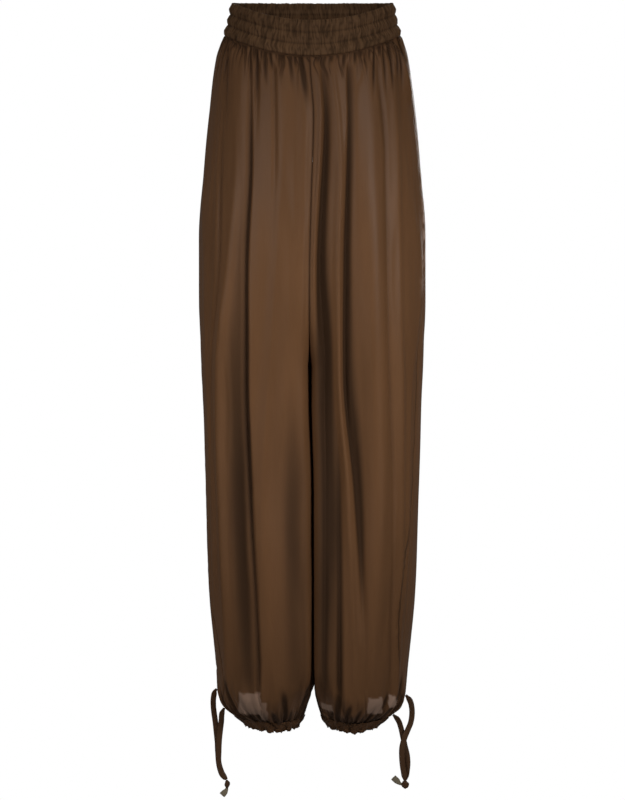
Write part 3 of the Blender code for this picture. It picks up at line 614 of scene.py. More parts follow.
def crowded(leg, face, start, end, levels, columns):
    """Angles from start to end in each row, closer together where a narrow crease runs."""
    part = np.linspace(0.0, 1.0, CROWD_SAMPLES)[None, :]
    angle = start[:, None] + (end - start)[:, None] * part
    level = np.repeat(levels[:, None], CROWD_SAMPLES, axis=1)
    crowd = np.ones_like(angle)
    for index, fold in enumerate(FOLDS):
        if fold.leg == leg and fold.face == face and fold.inner + fold.outer < NARROW_FOLD:
            place = fold_place(fold, index, level)
            away = (angle - place) * arc_radius(place, level)
            crowd += CROWDING * bell(away / CROWD_REACH)
    total = np.cumsum(crowd, axis=1) - crowd[:, :1]
    wanted = np.linspace(0.0, 1.0, columns + 1)
    return np.array([np.interp(wanted * row[-1], row, each) for row, each in zip(total, angle)])


def outer_end(level):
    """The angle where a panel's outer columns end and its inner columns start."""
    centre, radius = leg_ellipse(level)[:2]
    return np.arccos((OUTER_COLUMNS_END - centre) / radius)


def panel_grid(leg, face, levels):
    """Angles and levels of a panel's points, from its side edge to its centre edge."""
    side = side_angle(leg, levels)
    start = side + face * SEAM_GAP / 2 / arc_radius(side, levels)
    if face == FRONT:
        start = start + mouth_angle(leg, levels)
    turn = face * outer_end(levels)
    outer = crowded(leg, face, start, turn, levels, OUTER_COLUMNS)
    inner = crowded(leg, face, turn, face * centre_angle(levels), levels, INNER_COLUMNS)
    angle = np.concatenate([outer[:, :-1], inner], axis=1)
    return angle, np.repeat(levels[:, None], angle.shape[1], axis=1)


def cloth_uv(points):
    """Cloth widths and lengths in metres for a grid of points, measured along its rows."""
    steps = np.linalg.norm(np.diff(points, axis=1), axis=-1)
    across = np.concatenate([np.zeros((len(points), 1)), np.cumsum(steps, axis=1)], axis=1)
    across = across - across[:, across.shape[1] // 2][:, None]
    return np.stack([across, points[..., 2]], axis=-1) * MM


def sheer_light_amount(points):
    """How much painted light comes through the thin cloth at each point, from 0 to 1, where it is
    also a little see-through.
    """
    x, y, z = points[..., 0], points[..., 1], points[..., 2]
    wobble = SHEER_WOBBLE * ripple(x / 6.0, z / 7.0, 3)
    found = np.zeros_like(x)
    for patch in SHEER_LIGHT_PATCHES:
        strength = patch.strength
        for inside in (x - patch.left, patch.right - x, z - patch.low, patch.high - z):
            strength = strength * ease((inside + wobble) / SHEER_EDGE)
        found = np.maximum(found, strength)
    return found * (y < 0)


def seam_glints(leg, away, level):
    """Painted highlights: broken pale spots along a puckered side seam, where the cloth catches the
    light.
    """
    if leg == RIGHT:
        return 0 * level
    spots = ease(2.4 * ripple(level / 6.0, away / 9.0, 17) + 0.2)
    length = ease((GLINT_START_LEVEL - level) / 20.0) * ease((level - GLINT_END_LEVEL) / 60.0)
    return GLINT_STRENGTH * spots * length * bell(away / GLINT_REACH)


def gathering(leg, angle, level):
    """How much the cloth is gathered at each point: most at the waist seam and at the hem."""
    place = arc_place(leg, angle, level)
    uneven = 0.62 + 0.38 * wander(place / 13.0, 83 + leg)
    waist = 1 - ease((BAND_SEAM_LEVEL - level) / (GATHERED_WAIST * uneven))
    hem = 1 - ease((level - CASING_TOP_LEVEL) / (GATHERED_HEM * uneven))
    return np.maximum(waist, hem)


def seam_edge(points, inward, above, face):
    """Turns a grid's two side edges inwards, as a seam allowance does. Above the crotch the
    allowances of the centre seam lie against each other."""
    inward = inward.copy()
    inward[above, -1] = (0.0, face, 0.0)
    first = points[:, :1] + SEAM_ALLOWANCE * inward[:, :1]
    last = points[:, -1:] + SEAM_ALLOWANCE * inward[:, -1:]
    return np.concatenate([first, points, last], axis=1)


def widen(values):
    """Repeats the first and last columns, for the seam allowances."""
    return np.concatenate([values[:, :1], values, values[:, -1:]], axis=1)


def panel_surface(leg, face):
    """Points, crease shades, glints, gathering and outward directions of a leg panel."""
    angle, level = panel_grid(leg, face, panel_levels())
    height, crease = cloth_height(leg, angle, level)
    if face == FRONT:
        height = height + mouth_gape(leg, angle, level)
    radius = arc_radius(angle, level)
    from_side = np.abs(angle - angle[:, :1]) * radius
    from_centre = np.abs(angle[:, -1:] - angle) * radius
    # Painted shade along the side seams, the centre seam and between the legs
    centre_shade = np.where(level > CROTCH_LEVEL, CENTRE_SHADE, INNER_LEG_SHADE)
    for away, dark in ((from_side, SEAM_SHADE), (from_centre, centre_shade)):
        height = height - SEAM_DIP * bell(away / SEAM_DIP_REACH)
        crease = np.maximum(crease, dark * bell(away / SEAM_SHADE_REACH))
    tucked = ease((level - BAND_SEAM_LEVEL + 2.0) / 3.0)
    hidden = ease((PANEL_BOTTOM_LEVEL + 3.0 - level) / 3.0)
    height = height * (1 - tucked) - TUCK_AT_WAIST * tucked - TUCK_AT_HEM * hidden
    normal = level_normal(leg, angle, level)
    points = leg_point(leg, angle, level) + height[..., None] * normal
    least = np.where(level <= CROTCH_LEVEL - 1, INNER_LEG_CLEAR, SEAM_GAP / 2)
    points[..., 0] = leg * np.maximum(leg * points[..., 0], least)
    above = level[:, -1] > CROTCH_LEVEL - 1
    points[above, -1, 0] = leg * SEAM_GAP / 2
    points = lean_middle(seam_edge(points, -normal, above, face))
    shades = (crease, seam_glints(leg, from_side, level), gathering(leg, angle, level), normal)
    return points, *(widen(shade) for shade in shades)


def pocket_surface(leg):
    """Points and outward directions of a pocket's bag, which lies inside the front panel."""
    levels = np.linspace(BAND_SEAM_LEVEL - 0.5, POCKET_END_LEVEL, POCKET_ROWS)
    level = np.repeat(levels[:, None], POCKET_COLUMNS + 1, axis=1)
    side = side_angle(leg, level)
    start = side + math.radians(POCKET_BEHIND_SEAM)
    end = side + (outer_end(level) - side) * POCKET_REACH
    across = np.linspace(0.0, 1.0, POCKET_COLUMNS + 1)[None, :]
    down = np.linspace(0.0, 1.0, POCKET_ROWS)[:, None]
    angle = start + (end - start) * across
    bulge = POCKET_BULGE * np.sin(math.pi * np.minimum(down + 0.18, 1.0)) * np.sin(math.pi * across)
    height = cloth_height(leg, angle, level)[0] - POCKET_DEPTH - np.maximum(bulge, 0.0)
    normal = level_normal(leg, angle, level)
    return lean_middle(leg_point(leg, angle, level) + height[..., None] * normal), normal


def casing_surface(leg):
    """Points, crease shades and outward directions of a leg's casing, gathered on its
    drawstring, with a ruffle below."""
    turn = np.linspace(-math.pi, math.pi, CASING_COLUMNS + 1)[:-1]
    levels = np.linspace(CASING_TOP_LEVEL, CASING_END_LEVEL, CASING_ROWS)
    level, angle = np.meshgrid(levels, turn, indexing="ij")
    down = (CASING_TOP_LEVEL - level) / (CASING_TOP_LEVEL - CASING_END_LEVEL)
    channel = 0.5 * np.sin(math.pi * np.clip(down / 0.62, 0.0, 1.0)) ** 0.7
    ruffle = 0.7 * ease((down - 0.66) / 0.34)
    pulled = -0.5 * bell((down - 0.64) / 0.09)
    place = arc_place(leg, angle, level)
    swirl = np.where(np.abs(angle) > math.pi * 0.96, 0.0, 1.0)
    crisp = 1.8 * np.abs(ripple(place / 6.4, down * 0.9, 61 + leg)) ** 0.8 - 0.8
    fine = 1.9 * crisp * (0.7 + 0.6 * ease((down - 0.6) / 0.4)) * swirl
    gathers = hem_gathers(leg, angle, level) * (0.9 + 0.7 * ease((down - 0.6) / 0.4))
    height = channel + ruffle + pulled + fine + gathers
    normal = level_normal(leg, angle, level)
    points = leg_point(leg, angle, level) + height[..., None] * normal
    edge = 1.8 * wander(place / 9.0, 67 + leg) + 1.2 * wander(place / 4.0, 69 + leg)
    points[..., 2] += edge * ease((down - 0.4) / 0.6)
    # Painted shade in the casing's creases, never less than CASING_SHADE over the whole casing
    crease = np.maximum(ease(-2 * fine / CREASE_FULL_DEPTH), CASING_SHADE)
    return lean_middle(points), crease, normal


def band_width(height):
    """The waistband's half-width at a height above its seam."""
    return float(np.interp(height, *zip(*BAND_ROWS)))


def band_dip(turn, height):
    """How far the waistband's line at a height lies above its level, round the waist."""
    less = (FRONT_DIP_AT_SEAM - FRONT_DIP_AT_TOP) * height / BAND_HEIGHT
    return waist_dip(np.sin(turn), FRONT_DIP_AT_SEAM - less)


def band_gathers(turn, height, seed=BAND_GATHER_SEED):
    """Uneven gathers of a shirred channel, which change from one channel to the next."""
    place = turn * BAND_RADIUS
    lean = 0.8 * ripple(place / 17.0, height / 9.0, seed + 1)
    coarse = ripple(place / (2.7 * BAND_GATHER) + lean, height / 30.0, seed + 2)
    fine = ripple(place / BAND_GATHER + lean, height / CHANNEL_HEIGHT, seed)
    return 1.7 * np.abs(fine) ** 0.7 - 0.85 + 0.35 * coarse


def band_rows():
    """Height, distance in from the outer face and gather strength of each row of the band."""
    rows = []
    for index in range(BAND_OUTER_ROWS):
        rows.append((BAND_HEIGHT * index / (BAND_OUTER_ROWS - 1), 0.0, 1.0))
    for index in range(1, BAND_TOP_ROWS):
        part = math.pi * index / BAND_TOP_ROWS
        inset = BAND_WALL / 2 * (1 - math.cos(part))
        height = BAND_HEIGHT + BAND_TOP_CROWN * math.sin(part)
        rows.append((height, inset, BAND_INNER_STRENGTH))
    for index in range(BAND_INNER_ROWS):
        height = BAND_HEIGHT * (1 - index / (BAND_INNER_ROWS - 1))
        rows.append((height, BAND_WALL, BAND_INNER_STRENGTH))
    return rows


def band_surface():
    """Points, crease shades and outward directions of the waistband: three shirred channels, the
    folded top and the inner face."""
    turn = np.linspace(0.0, 2 * math.pi, BAND_COLUMNS + 1)[:-1]
    from_join = np.minimum(turn, 2 * math.pi - turn) * BAND_RADIUS
    points, creases = [], []
    for height, inset, strength in band_rows():
        here = min(height, BAND_HEIGHT)
        inner = inset / BAND_WALL
        across = (here % CHANNEL_HEIGHT) / CHANNEL_HEIGHT if here < BAND_HEIGHT else 0.1
        crown = math.sin(math.pi * across) ** 0.6
        from_line = min(across, 1 - across) * CHANNEL_HEIGHT
        pull = STITCH_PULL * math.exp(-((from_line / STITCH_PULL_REACH) ** 2))
        if here < STITCH_PULL_REACH or here == BAND_HEIGHT:
            pull = 0.4 * pull
        wave = band_gathers(turn, here) * ease(from_join / 6.0)
        gather = BAND_GATHER_DEPTH * strength * (0.45 + 0.55 * crown) * wave
        outer_reach = CHANNEL_PUFF * crown - pull + gather
        inner_reach = 0.6 * pull - 0.4 * CHANNEL_PUFF * crown + 0.6 * gather
        reach = (1 - inner) * outer_reach + inner * inner_reach - inset
        ruffle = 0.6 * ease((here - 41.0) / 5.5) * band_gathers(turn, 3.0, 79)
        x = (band_width(here) + reach) * np.cos(turn)
        y = -(band_width(here) * BAND_DEPTH_RATIO + reach) * np.sin(turn)
        z = BAND_SEAM_LEVEL + height + band_dip(turn, here) + ruffle
        points.append(np.stack([x, y, z], axis=-1))
        # Painted shade between the gathers and along the stitch lines
        creases.append(ease(0.34 - 0.45 * wave + 0.3 * pull / STITCH_PULL))
    outward = np.stack([np.cos(turn), -np.sin(turn), 0 * turn], axis=-1)
    return np.array(points), np.array(creases), np.array([outward] * len(points))


def curve_through(route, spacing):
    """Points a given distance apart on a smooth curve through a route's own points."""
    points = [Vector(point) for point in route]
    ends = [2 * points[0] - points[1]] + points + [2 * points[-1] - points[-2]]
    found = []
    for before, start, stop, after in zip(ends, ends[1:], ends[2:], ends[3:]):
        steps = max(1, round((stop - start).length / spacing))
        for step in range(steps):
            part = step / steps
            found.append(
                0.5
                * (
                    2 * start
                    + (stop - before) * part
                    + (2 * before - 5 * start + 4 * stop - after) * part**2
                    + (3 * start - before - 3 * stop + after) * part**3
                )
            )
    return found + [points[-1]]


# Materials


def add_node(tree, kind, place, **settings):
    """A node at a place in the editor. Its inputs and properties are set by name: an output of
    another node is linked to the input, and anything else is its value."""
    made = tree.nodes.new(kind)
    made.location = place
    for name, value in settings.items():
        if name not in made.inputs:
            setattr(made, name, value)
        elif isinstance(value, bpy.types.NodeSocket):
            tree.links.new(value, made.inputs[name])
        else:
            made.inputs[name].default_value = value
    return made


def add_math(tree, operation, place, *inputs, use_clamp=False):
    """The result of a Math node whose inputs are outputs of other nodes or plain numbers."""
    made = add_node(tree, "ShaderNodeMath", place, operation=operation, use_clamp=use_clamp)
    for value, socket in zip(inputs, made.inputs):
        if isinstance(value, bpy.types.NodeSocket):
            tree.links.new(value, socket)
        else:
            socket.default_value = value
    return made.outputs[0]


def new_group(name, inputs, outputs):
    """An empty shader node group: its tree, the outputs of its start and the inputs of its end."""
    group = bpy.data.node_groups.new(name, "ShaderNodeTree")
    for label, kind, value in inputs:
        socket = group.interface.new_socket(label, in_out="INPUT", socket_type=kind)
        if value is not None:
            socket.default_value = value
    for label, kind in outputs:
        group.interface.new_socket(label, in_out="OUTPUT", socket_type=kind)
    start = add_node(group, "NodeGroupInput", (-900, 0))
    end = add_node(group, "NodeGroupOutput", (700, 0))
    return group, start.outputs, end.inputs


def drawn_noise(tree, vector, scale, place, **settings):
    """Noise that is stretched by a different scale along each axis."""
    drawn = add_node(tree, "ShaderNodeMapping", place, vector_type="POINT", Vector=vector)
    drawn.inputs["Scale"].default_value = scale
    beside = (place[0] + 200, place[1])
    return add_node(
        tree, "ShaderNodeTexNoise", beside, Scale=1.0, Vector=drawn.outputs[0], **settings
    ).outputs["Fac"]


def weave_group():
    """Fine satin weave: long vertical floats crossed by the weft, as a height and a tint."""
    found = bpy.data.node_groups.get("satin_weave")
    if found:
        return found
    group, start, end = new_group(
        "satin_weave",
        [("Vector", "NodeSocketVector", None), ("Threads", "NodeSocketFloat", THREADS)],
        [("Height", "NodeSocketFloat"), ("Tint", "NodeSocketFloat")],
    )
    scaled = add_node(group, "ShaderNodeVectorMath", (-700, 0), operation="SCALE")
    group.links.new(start["Vector"], scaled.inputs[0])
    group.links.new(start["Threads"], scaled.inputs["Scale"])
    scaled = scaled.outputs["Vector"]
    threads = [
        add_node(
            group, "ShaderNodeTexWave", (-480, 160 - 300 * row), wave_type="BANDS",
            bands_direction=axis, Scale=size, Distortion=THREAD_WANDER, Vector=scaled,
        ).outputs["Fac"]
        for row, (axis, size) in enumerate((("X", WARP_SCALE), ("Y", WEFT_SCALE)))
    ]
    slubs = drawn_noise(group, scaled, SLUB_SIZES, (-480, -420), Detail=2.0)
    crossed = add_math(group, "MULTIPLY", (-240, 40), *threads)
    group.links.new(add_math(group, "ADD", (40, 60), crossed, slubs), end["Height"])
    group.links.new(slubs, end["Tint"])
    return group


def gather_group():
    """Fine gathers that run down from a seam: their height and the shade painted into their
    creases.
    """
    found = bpy.data.node_groups.get("fine_gathers")
    if found:
        return found
    group, start, end = new_group(
        "fine_gathers",
        [("Vector", "NodeSocketVector", None), ("Amount", "NodeSocketFloat", 0.0)],
        [("Height", "NodeSocketFloat"), ("Crease", "NodeSocketFloat")],
    )
    folds = drawn_noise(
        group, start["Vector"], GATHER_SIZES, (-700, 0), Detail=2.0, Distortion=0.4
    )
    low = add_node(group, "ShaderNodeMapRange", (-280, -160), Value=folds)
    low.inputs["From Min"].default_value, low.inputs["From Max"].default_value = GATHER_CREASE_SHADE
    height = add_math(group, "MULTIPLY", (0, 80), folds, start["Amount"])
    crease = add_math(group, "MULTIPLY", (0, -160), low.outputs["Result"], start["Amount"])
    group.links.new(height, end["Height"])
    group.links.new(crease, end["Crease"])
    return group


def tone_and_shade_group():
    """Uneven tone of worn cloth: lighter and darker fields, drawn out along the leg, with painted
    shade in creases.
    """
    found = bpy.data.node_groups.get("cloth_tone")
    if found:
        return found
    group, start, end = new_group(
        "cloth_tone",
        [
            ("Color", "NodeSocketColor", (0.15, 0.09, 0.05, 1.0)),
            ("Vector", "NodeSocketVector", None),
            ("Tint", "NodeSocketFloat", 0.5),
            ("Crease", "NodeSocketFloat", 0.0),
            ("Unevenness", "NodeSocketFloat", 0.2),
        ],
        [("Color", "NodeSocketColor"), ("Fields", "NodeSocketFloat")],
    )
    fields = drawn_noise(group, start["Vector"], FIELD_SIZES, (-700, 120), Detail=3.0)
    both = add_math(group, "MULTIPLY_ADD", (-300, 60), start["Tint"], TINT_SHARE, fields)
    centred = add_math(group, "SUBTRACT", (-120, 60), both, 0.5 + TINT_SHARE / 2)
    swing = add_math(group, "MULTIPLY_ADD", (40, 60), centred, start["Unevenness"], 1.0)
    # Painted shade: the colour is darker where the crease input is high
    shade = add_math(
        group, "MULTIPLY_ADD", (40, -160), start["Crease"], -CREASE_DARKENING, 1.0, use_clamp=True
    )
    painted = add_node(group, "ShaderNodeVectorMath", (420, 0), operation="SCALE")
    group.links.new(start["Color"], painted.inputs[0])
    group.links.new(add_math(group, "MULTIPLY", (220, 0), swing, shade), painted.inputs["Scale"])
    group.links.new(painted.outputs["Vector"], end["Color"])
    group.links.new(fields, end["Fields"])
    return group


def attribute(tree, name, place):
    return add_node(tree, "ShaderNodeAttribute", place, attribute_name=name).outputs["Fac"]


def cloth_material(name, colour, roughness, sheen, unevenness, weave_depth, sheer=None):
    """A Principled cloth: weave on the piece's own UV map, tone on Object coordinates."""
    found = bpy.data.materials.get(name)
    if found:
        return found
    material = bpy.data.materials.new(name)
    material.use_nodes = True
    tree = material.node_tree
    shader = tree.nodes["Principled BSDF"].inputs
    shader["Sheen Weight"].default_value = sheen
    shader["Sheen Roughness"].default_value = SHEEN_ROUGHNESS
    shader["Sheen Tint"].default_value = SHEEN_TINT
    shader["Specular IOR Level"].default_value = SPECULAR
    uv = add_node(tree, "ShaderNodeUVMap", (-1300, -200), uv_map="Cloth").outputs["UV"]
    weave = add_node(tree, "ShaderNodeGroup", (-1050, -200), node_tree=weave_group())
    tree.links.new(uv, weave.inputs["Vector"])
    gathers = add_node(tree, "ShaderNodeGroup", (-1050, -480), node_tree=gather_group())
    tree.links.new(uv, gathers.inputs["Vector"])
    tree.links.new(attribute(tree, "gathers", (-1300, -480)), gathers.inputs["Amount"])
    # Painted shade: the crease attribute and the fine gathers' creases darken the colour
    crease = attribute(tree, "crease", (-1300, 320))
    dark = add_math(tree, "MAXIMUM", (-960, 320), crease, gathers.outputs["Crease"])
    place = add_node(tree, "ShaderNodeTexCoord", (-1300, 100)).outputs["Object"]
    tone = add_node(tree, "ShaderNodeGroup", (-760, 160), node_tree=tone_and_shade_group())
    tone.inputs["Color"].default_value = (*colour, 1.0)
    tone.inputs["Unevenness"].default_value = unevenness
    for source, label in ((place, "Vector"), (weave.outputs["Tint"], "Tint"), (dark, "Crease")):
        tree.links.new(source, tone.inputs[label])
    rough = add_node(tree, "ShaderNodeMapRange", (-460, -60), Value=tone.outputs["Fields"])
    rough.inputs["To Min"].default_value = roughness - ROUGHNESS_FALL
    rough.inputs["To Max"].default_value = roughness + ROUGHNESS_RISE
    dull = add_math(tree, "MULTIPLY_ADD", (-240, -60), dark, CREASE_ROUGHNESS, rough.outputs[0])
    tree.links.new(dull, shader["Roughness"])
    puffs = add_node(
        tree, "ShaderNodeBump", (-700, -480), Strength=1.0, Distance=GATHER_BUMP,
        Height=gathers.outputs["Height"],
    )
    bump = add_node(
        tree, "ShaderNodeBump", (-460, -320), Strength=0.5, Distance=weave_depth,
        Height=weave.outputs["Height"], Normal=puffs.outputs["Normal"],
    )
    tree.links.new(bump.outputs["Normal"], shader["Normal"])
    colour_from = tone.outputs["Color"]
    # Painted light: the colour turns lighter where light comes through the thin cloth and at the
    # seam's highlights, and the cloth there is a little see-through
    if sheer:
        patch = attribute(tree, "sheer", (-760, 460))
        blend = add_node(tree, "ShaderNodeMixRGB", (-460, 300), Fac=patch, Color1=colour_from)
        blend.inputs["Color2"].default_value = (*sheer, 1.0)
        colour_from = blend.outputs["Color"]
        clear = add_math(tree, "MULTIPLY_ADD", (-460, 520), patch, -SHEER_CLEARNESS, 1.0)
        tree.links.new(clear, shader["Alpha"])
    tree.links.new(colour_from, shader["Base Color"])
    material.diffuse_color = (*colour, 1.0)
    return material


def satin(settings):
    return cloth_material(
        "leg_satin", settings.satin_colour, settings.satin_roughness, 0.02, 0.45, 0.00006,
        sheer=settings.sheer_colour,
    )


def shirred_satin(settings):
    return cloth_material(
        "shirred_satin", settings.band_colour, settings.band_roughness, 0.02, 0.4, 0.00008
    )


def ribbon_satin(settings):
    return cloth_material(
        "ribbon_satin", settings.ribbon_colour, settings.satin_roughness, 0.04, 0.35, 0.00006
    )


# Ribbon satin in a lighter colour, a painted highlight on the tails
def tail_satin(settings):
    return cloth_material(
        "tail_satin", settings.tail_colour, settings.satin_roughness, 0.04, 0.6, 0.00006
    )


def thread(settings):
    return cloth_material("thread", settings.thread_colour, 0.6, 0.1, 0.2, 0.00005)


# Pieces


def deselect_all():
    bpy.ops.object.select_all(action="DESELECT")


def cloth_mesh(name, points, outward, ring=False, loop=False, **attributes):
    """A mesh over a grid of points, with its faces outwards and its attributes on its points. A
    ring joins the last column to the first, and a loop the last row to the first."""
    rows, columns = points.shape[:2]
    uv = cloth_uv(np.concatenate([points, points[:, :1]], axis=1) if ring else points)
    if loop:
        uv = np.concatenate([uv, uv[:1]], axis=0)
    down = np.arange(rows if loop else rows - 1)
    over = np.arange(columns if ring else columns - 1)
    row, column = (grid.ravel() for grid in np.meshgrid(down, over, indexing="ij"))
    corner_rows = np.stack([row, row + 1, row + 1, row], axis=1)
    corner_columns = np.stack([column, column, column + 1, column + 1], axis=1)
    sample = points[rows // 4: rows // 4 + 2, columns // 3: columns // 3 + 2]
    facing = np.cross(sample[1, 0] - sample[0, 0], sample[0, 1] - sample[0, 0])
    if np.dot(facing, outward[rows // 4, columns // 3]) < 0:
        corner_rows, corner_columns = corner_rows[:, ::-1], corner_columns[:, ::-1]
    faces = (corner_rows % rows) * columns + corner_columns % columns
    mesh = bpy.data.meshes.new(name)
    mesh.from_pydata((points.reshape(-1, 3) * MM).tolist(), [], faces.tolist())
    layer = mesh.uv_layers.new(name="Cloth")
    layer.data.foreach_set("uv", uv[corner_rows, corner_columns].reshape(-1).astype(np.float32))
    for label, values in attributes.items():
        stored = mesh.attributes.new(name=label, type="FLOAT", domain="POINT")
        stored.data.foreach_set("value", values.reshape(-1).astype(np.float32))
    mesh.shade_smooth()
    mesh.update()
    return mesh


def finish_piece(made, replaced):
    """Gives a piece its body and the nodes that it stands for."""
    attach(made, "root")
    if replaced:
        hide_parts(*replaced)
    return made


def add_piece(name, mesh, material, replaced=(), thickness=0.0):
    """Links a mesh as a piece, with its wall's thickness to the inside."""
    made = bpy.data.objects.new(name, mesh)
    bpy.context.scene.collection.objects.link(made)
    mesh.materials.append(material)
    if thickness:
        wall = made.modifiers.new("Wall", "SOLIDIFY")
        wall.thickness = thickness
        wall.offset = -1.0
        wall.use_rim = True
    return finish_piece(made, replaced)


def add_cloth(settings, name, points, outward, ring=False, **shades):
    """A satin shell over a grid of points, for the solid of the same name."""
    mesh = cloth_mesh("cloth_" + name, points, outward, ring=ring, **shades)
    return add_piece(
        "cloth_" + name, mesh, satin(settings), (name,), settings.cloth_thickness
    )


def make_panel(settings, name, leg, face):
    points, crease, glint, gathers, outward = panel_surface(leg, face)
    # Painted light through the thin cloth and painted highlights at the seam share one attribute
    sheer = np.maximum(sheer_light_amount(points), glint)
    made = add_cloth(settings, name, points, outward, crease=crease, sheer=sheer, gathers=gathers)


def make_pocket(settings, name, leg):
    made = add_cloth(settings, name, *pocket_surface(leg))


def make_casing(settings, name, leg):
    points, crease, outward = casing_surface(leg)
    made = add_cloth(
        settings, name, points, outward, ring=True, crease=crease,
        sheer=CASING_SHEER_LIGHT * sheer_light_amount(points), gathers=np.ones_like(crease),
    )


def make_band(settings):
    points, crease, outward = band_surface()
    mesh = cloth_mesh("cloth_waistband", points, outward, ring=True, loop=True, crease=crease)
    material = shirred_satin(settings)
    made = add_piece("cloth_waistband", mesh, material, ("waistband",))


def make_stitches(settings):
    """One stitch, modelled once, and its copies round the band's two stitch lines."""
    deselect_all()
    bpy.ops.mesh.primitive_uv_sphere_add(segments=6, ring_count=4, radius=0.5)
    model = bpy.context.object
    model.scale = (STITCH_LENGTH * MM, STITCH_WIDTH * MM, STITCH_WIDTH * MM)
    bpy.ops.object.transform_apply(location=False, rotation=False, scale=True)
    shape = np.array([vertex.co[:] for vertex in model.data.vertices])
    faces = [list(face.vertices) for face in model.data.polygons]
    bpy.data.objects.remove(model, do_unlink=True)
    verts, polygons = [], []
    for line in STITCH_LINES:
        for index in range(STITCHES_ROUND):
            turn = 2 * math.pi * (index + 0.5) / STITCHES_ROUND
            reach = STITCH_CLEAR + STITCH_RIDE * BAND_GATHER_DEPTH * float(band_gathers(turn, line))
            out = band_width(line) - STITCH_PULL + reach
            deep = band_width(line) * BAND_DEPTH_RATIO - STITCH_PULL + reach
            z = BAND_SEAM_LEVEL + line + float(band_dip(turn, line))
            place = np.array([out * math.cos(turn), -deep * math.sin(turn), z]) * MM
            along = np.array([-out * math.sin(turn), -deep * math.cos(turn), 0.0])
            along = along / np.linalg.norm(along)
            facing = np.array([math.cos(turn), -math.sin(turn), 0.0])
            facing = facing - along * np.dot(facing, along)
            facing = facing / np.linalg.norm(facing)
            axes = np.stack([along, np.cross(facing, along), facing])
            polygons += [[corner + len(verts) for corner in face] for face in faces]
            verts += (shape @ axes + place).tolist()
    mesh = bpy.data.meshes.new("band_stitches")
    mesh.from_pydata(verts, [], polygons)
    mesh.shade_smooth()
    add_piece("band_stitches", mesh, thread(settings))


def ribbon_mesh(name, points, knot, width, thick, twist, seed):
    """A flat folded ribbon along a line of points, which twists a little as it hangs."""
    verts, faces, uvs = [], [], []
    run = 0.0
    for index, point in enumerate(points):
        before, after = points[max(index - 1, 0)], points[min(index + 1, len(points) - 1)]
        along = (after - before).normalized()
        run += (point - before).length
        across = along.cross(FORWARD).normalized()
        out = across.cross(along)
        turn = float(twist * wander(run / 26.0, seed) + 0.12 * wander(run / 7.0, seed + 1))
        wide = across * math.cos(turn) + out * math.sin(turn)
        flat = wide.cross(along).normalized()
        from_knot = (point - Vector(knot)).length - KNOT_RADII[0]
        loose = ease(min(from_knot, (point - points[0]).length) / RIBBON_PINCH_LENGTH)
        share = RIBBON_PINCH + (1 - RIBBON_PINCH) * float(loose)
        for side in range(RIBBON_SIDES):
            part = 2 * math.pi * side / RIBBON_SIDES
            sideways = math.copysign(abs(math.cos(part)) ** 0.7, math.cos(part))
            dished = 0.35 * thick * (1 - abs(sideways)) * float(wander(run / 11.0, seed + 2))
            spot = point + wide * width / 2 * share * sideways
            verts.append((spot + flat * (thick / 2 * math.sin(part) + dished)) * MM)
            uvs.append((side / RIBBON_SIDES * 2 * width * MM, run * MM))
    for low in range(0, len(verts) - RIBBON_SIDES, RIBBON_SIDES):
        for side in range(RIBBON_SIDES):
            here, following = low + side, low + (side + 1) % RIBBON_SIDES
            faces.append((here, following, following + RIBBON_SIDES, here + RIBBON_SIDES))
    faces.append(tuple(range(RIBBON_SIDES)))
    faces.append(tuple(range(len(verts) - RIBBON_SIDES, len(verts))))
    mesh = bpy.data.meshes.new(name)
    mesh.from_pydata(verts, [], faces)
    built = bmesh.new()
    built.from_mesh(mesh)
    bmesh.ops.recalc_face_normals(built, faces=built.faces)
    if built.calc_volume(signed=True) < 0:
        bmesh.ops.reverse_faces(built, faces=built.faces)
    layer = built.loops.layers.uv.new("Cloth")
    for face in built.faces:
        for loop in face.loops:
            loop[layer].uv = uvs[loop.vert.index]
    built.to_mesh(mesh)
    built.free()
    mesh.shade_smooth()
    return mesh


def make_knot(settings, name, place, seed):
    """A knot: a ball drawn into wraps, with one strap of the ribbon round it."""
    deselect_all()
    bpy.ops.mesh.primitive_uv_sphere_add(segments=40, ring_count=28, radius=1.0)
    ball = bpy.context.object
    for vertex in ball.data.vertices:
        turn = math.atan2(vertex.co.y, vertex.co.x)
        wraps = 0.10 * math.sin(2 * turn + 3.0 * vertex.co.z + seed)
        wraps += 0.04 * math.sin(7.0 * vertex.co.z + turn)
        spot = [
            axis * radius * share * (1 + wraps)
            for axis, radius, share in zip(vertex.co, KNOT_RADII, KNOT_SHARES[name])
        ]
        vertex.co = Vector(spot) * MM
    deselect_all()
    bpy.ops.mesh.primitive_torus_add(
        major_segments=36, minor_segments=12, major_radius=KNOT_RADII[0] * MM,
        minor_radius=0.9 * MM, rotation=(0.75, 0.5 * seed, 0.0),
    )
    strap = bpy.context.object
    strap.scale = (KNOT_SHARES[name][0], 0.86, 1.9 * KNOT_SHARES[name][2])
    bpy.ops.object.transform_apply(location=False, rotation=True, scale=True)
    ball.select_set(True)
    bpy.context.view_layer.objects.active = ball
    bpy.ops.object.join()
    knot = bpy.context.object
    knot.location = Vector(place) * MM
    bpy.ops.object.transform_apply(location=True, rotation=True, scale=True)
    knot.name = "ribbon_" + name
    knot.data.name = knot.name
    knot.data.shade_smooth()
    knot.data.materials.append(ribbon_satin(settings))
    for layer in knot.data.uv_layers:
        layer.name = "Cloth"
    return finish_piece(knot, (name,))


# Add-on


def colour_setting(name, description, *default):
    return FloatVectorProperty(
        name=name, description=description, subtype="COLOR", size=3, default=default, min=0.0,
        max=1.0,
    )


def roughness_setting(name, description, default):
    return FloatProperty(
        name=name, description=description, subtype="FACTOR", default=default, min=0.1, max=1.0
    )


def power_setting(name, description, default):
    return FloatProperty(name=name, description=description, unit="POWER", default=default)


def length_setting(name, description, default, **limits):
    return FloatProperty(
        name=name, description=description, unit="LENGTH", default=default, **limits
    )


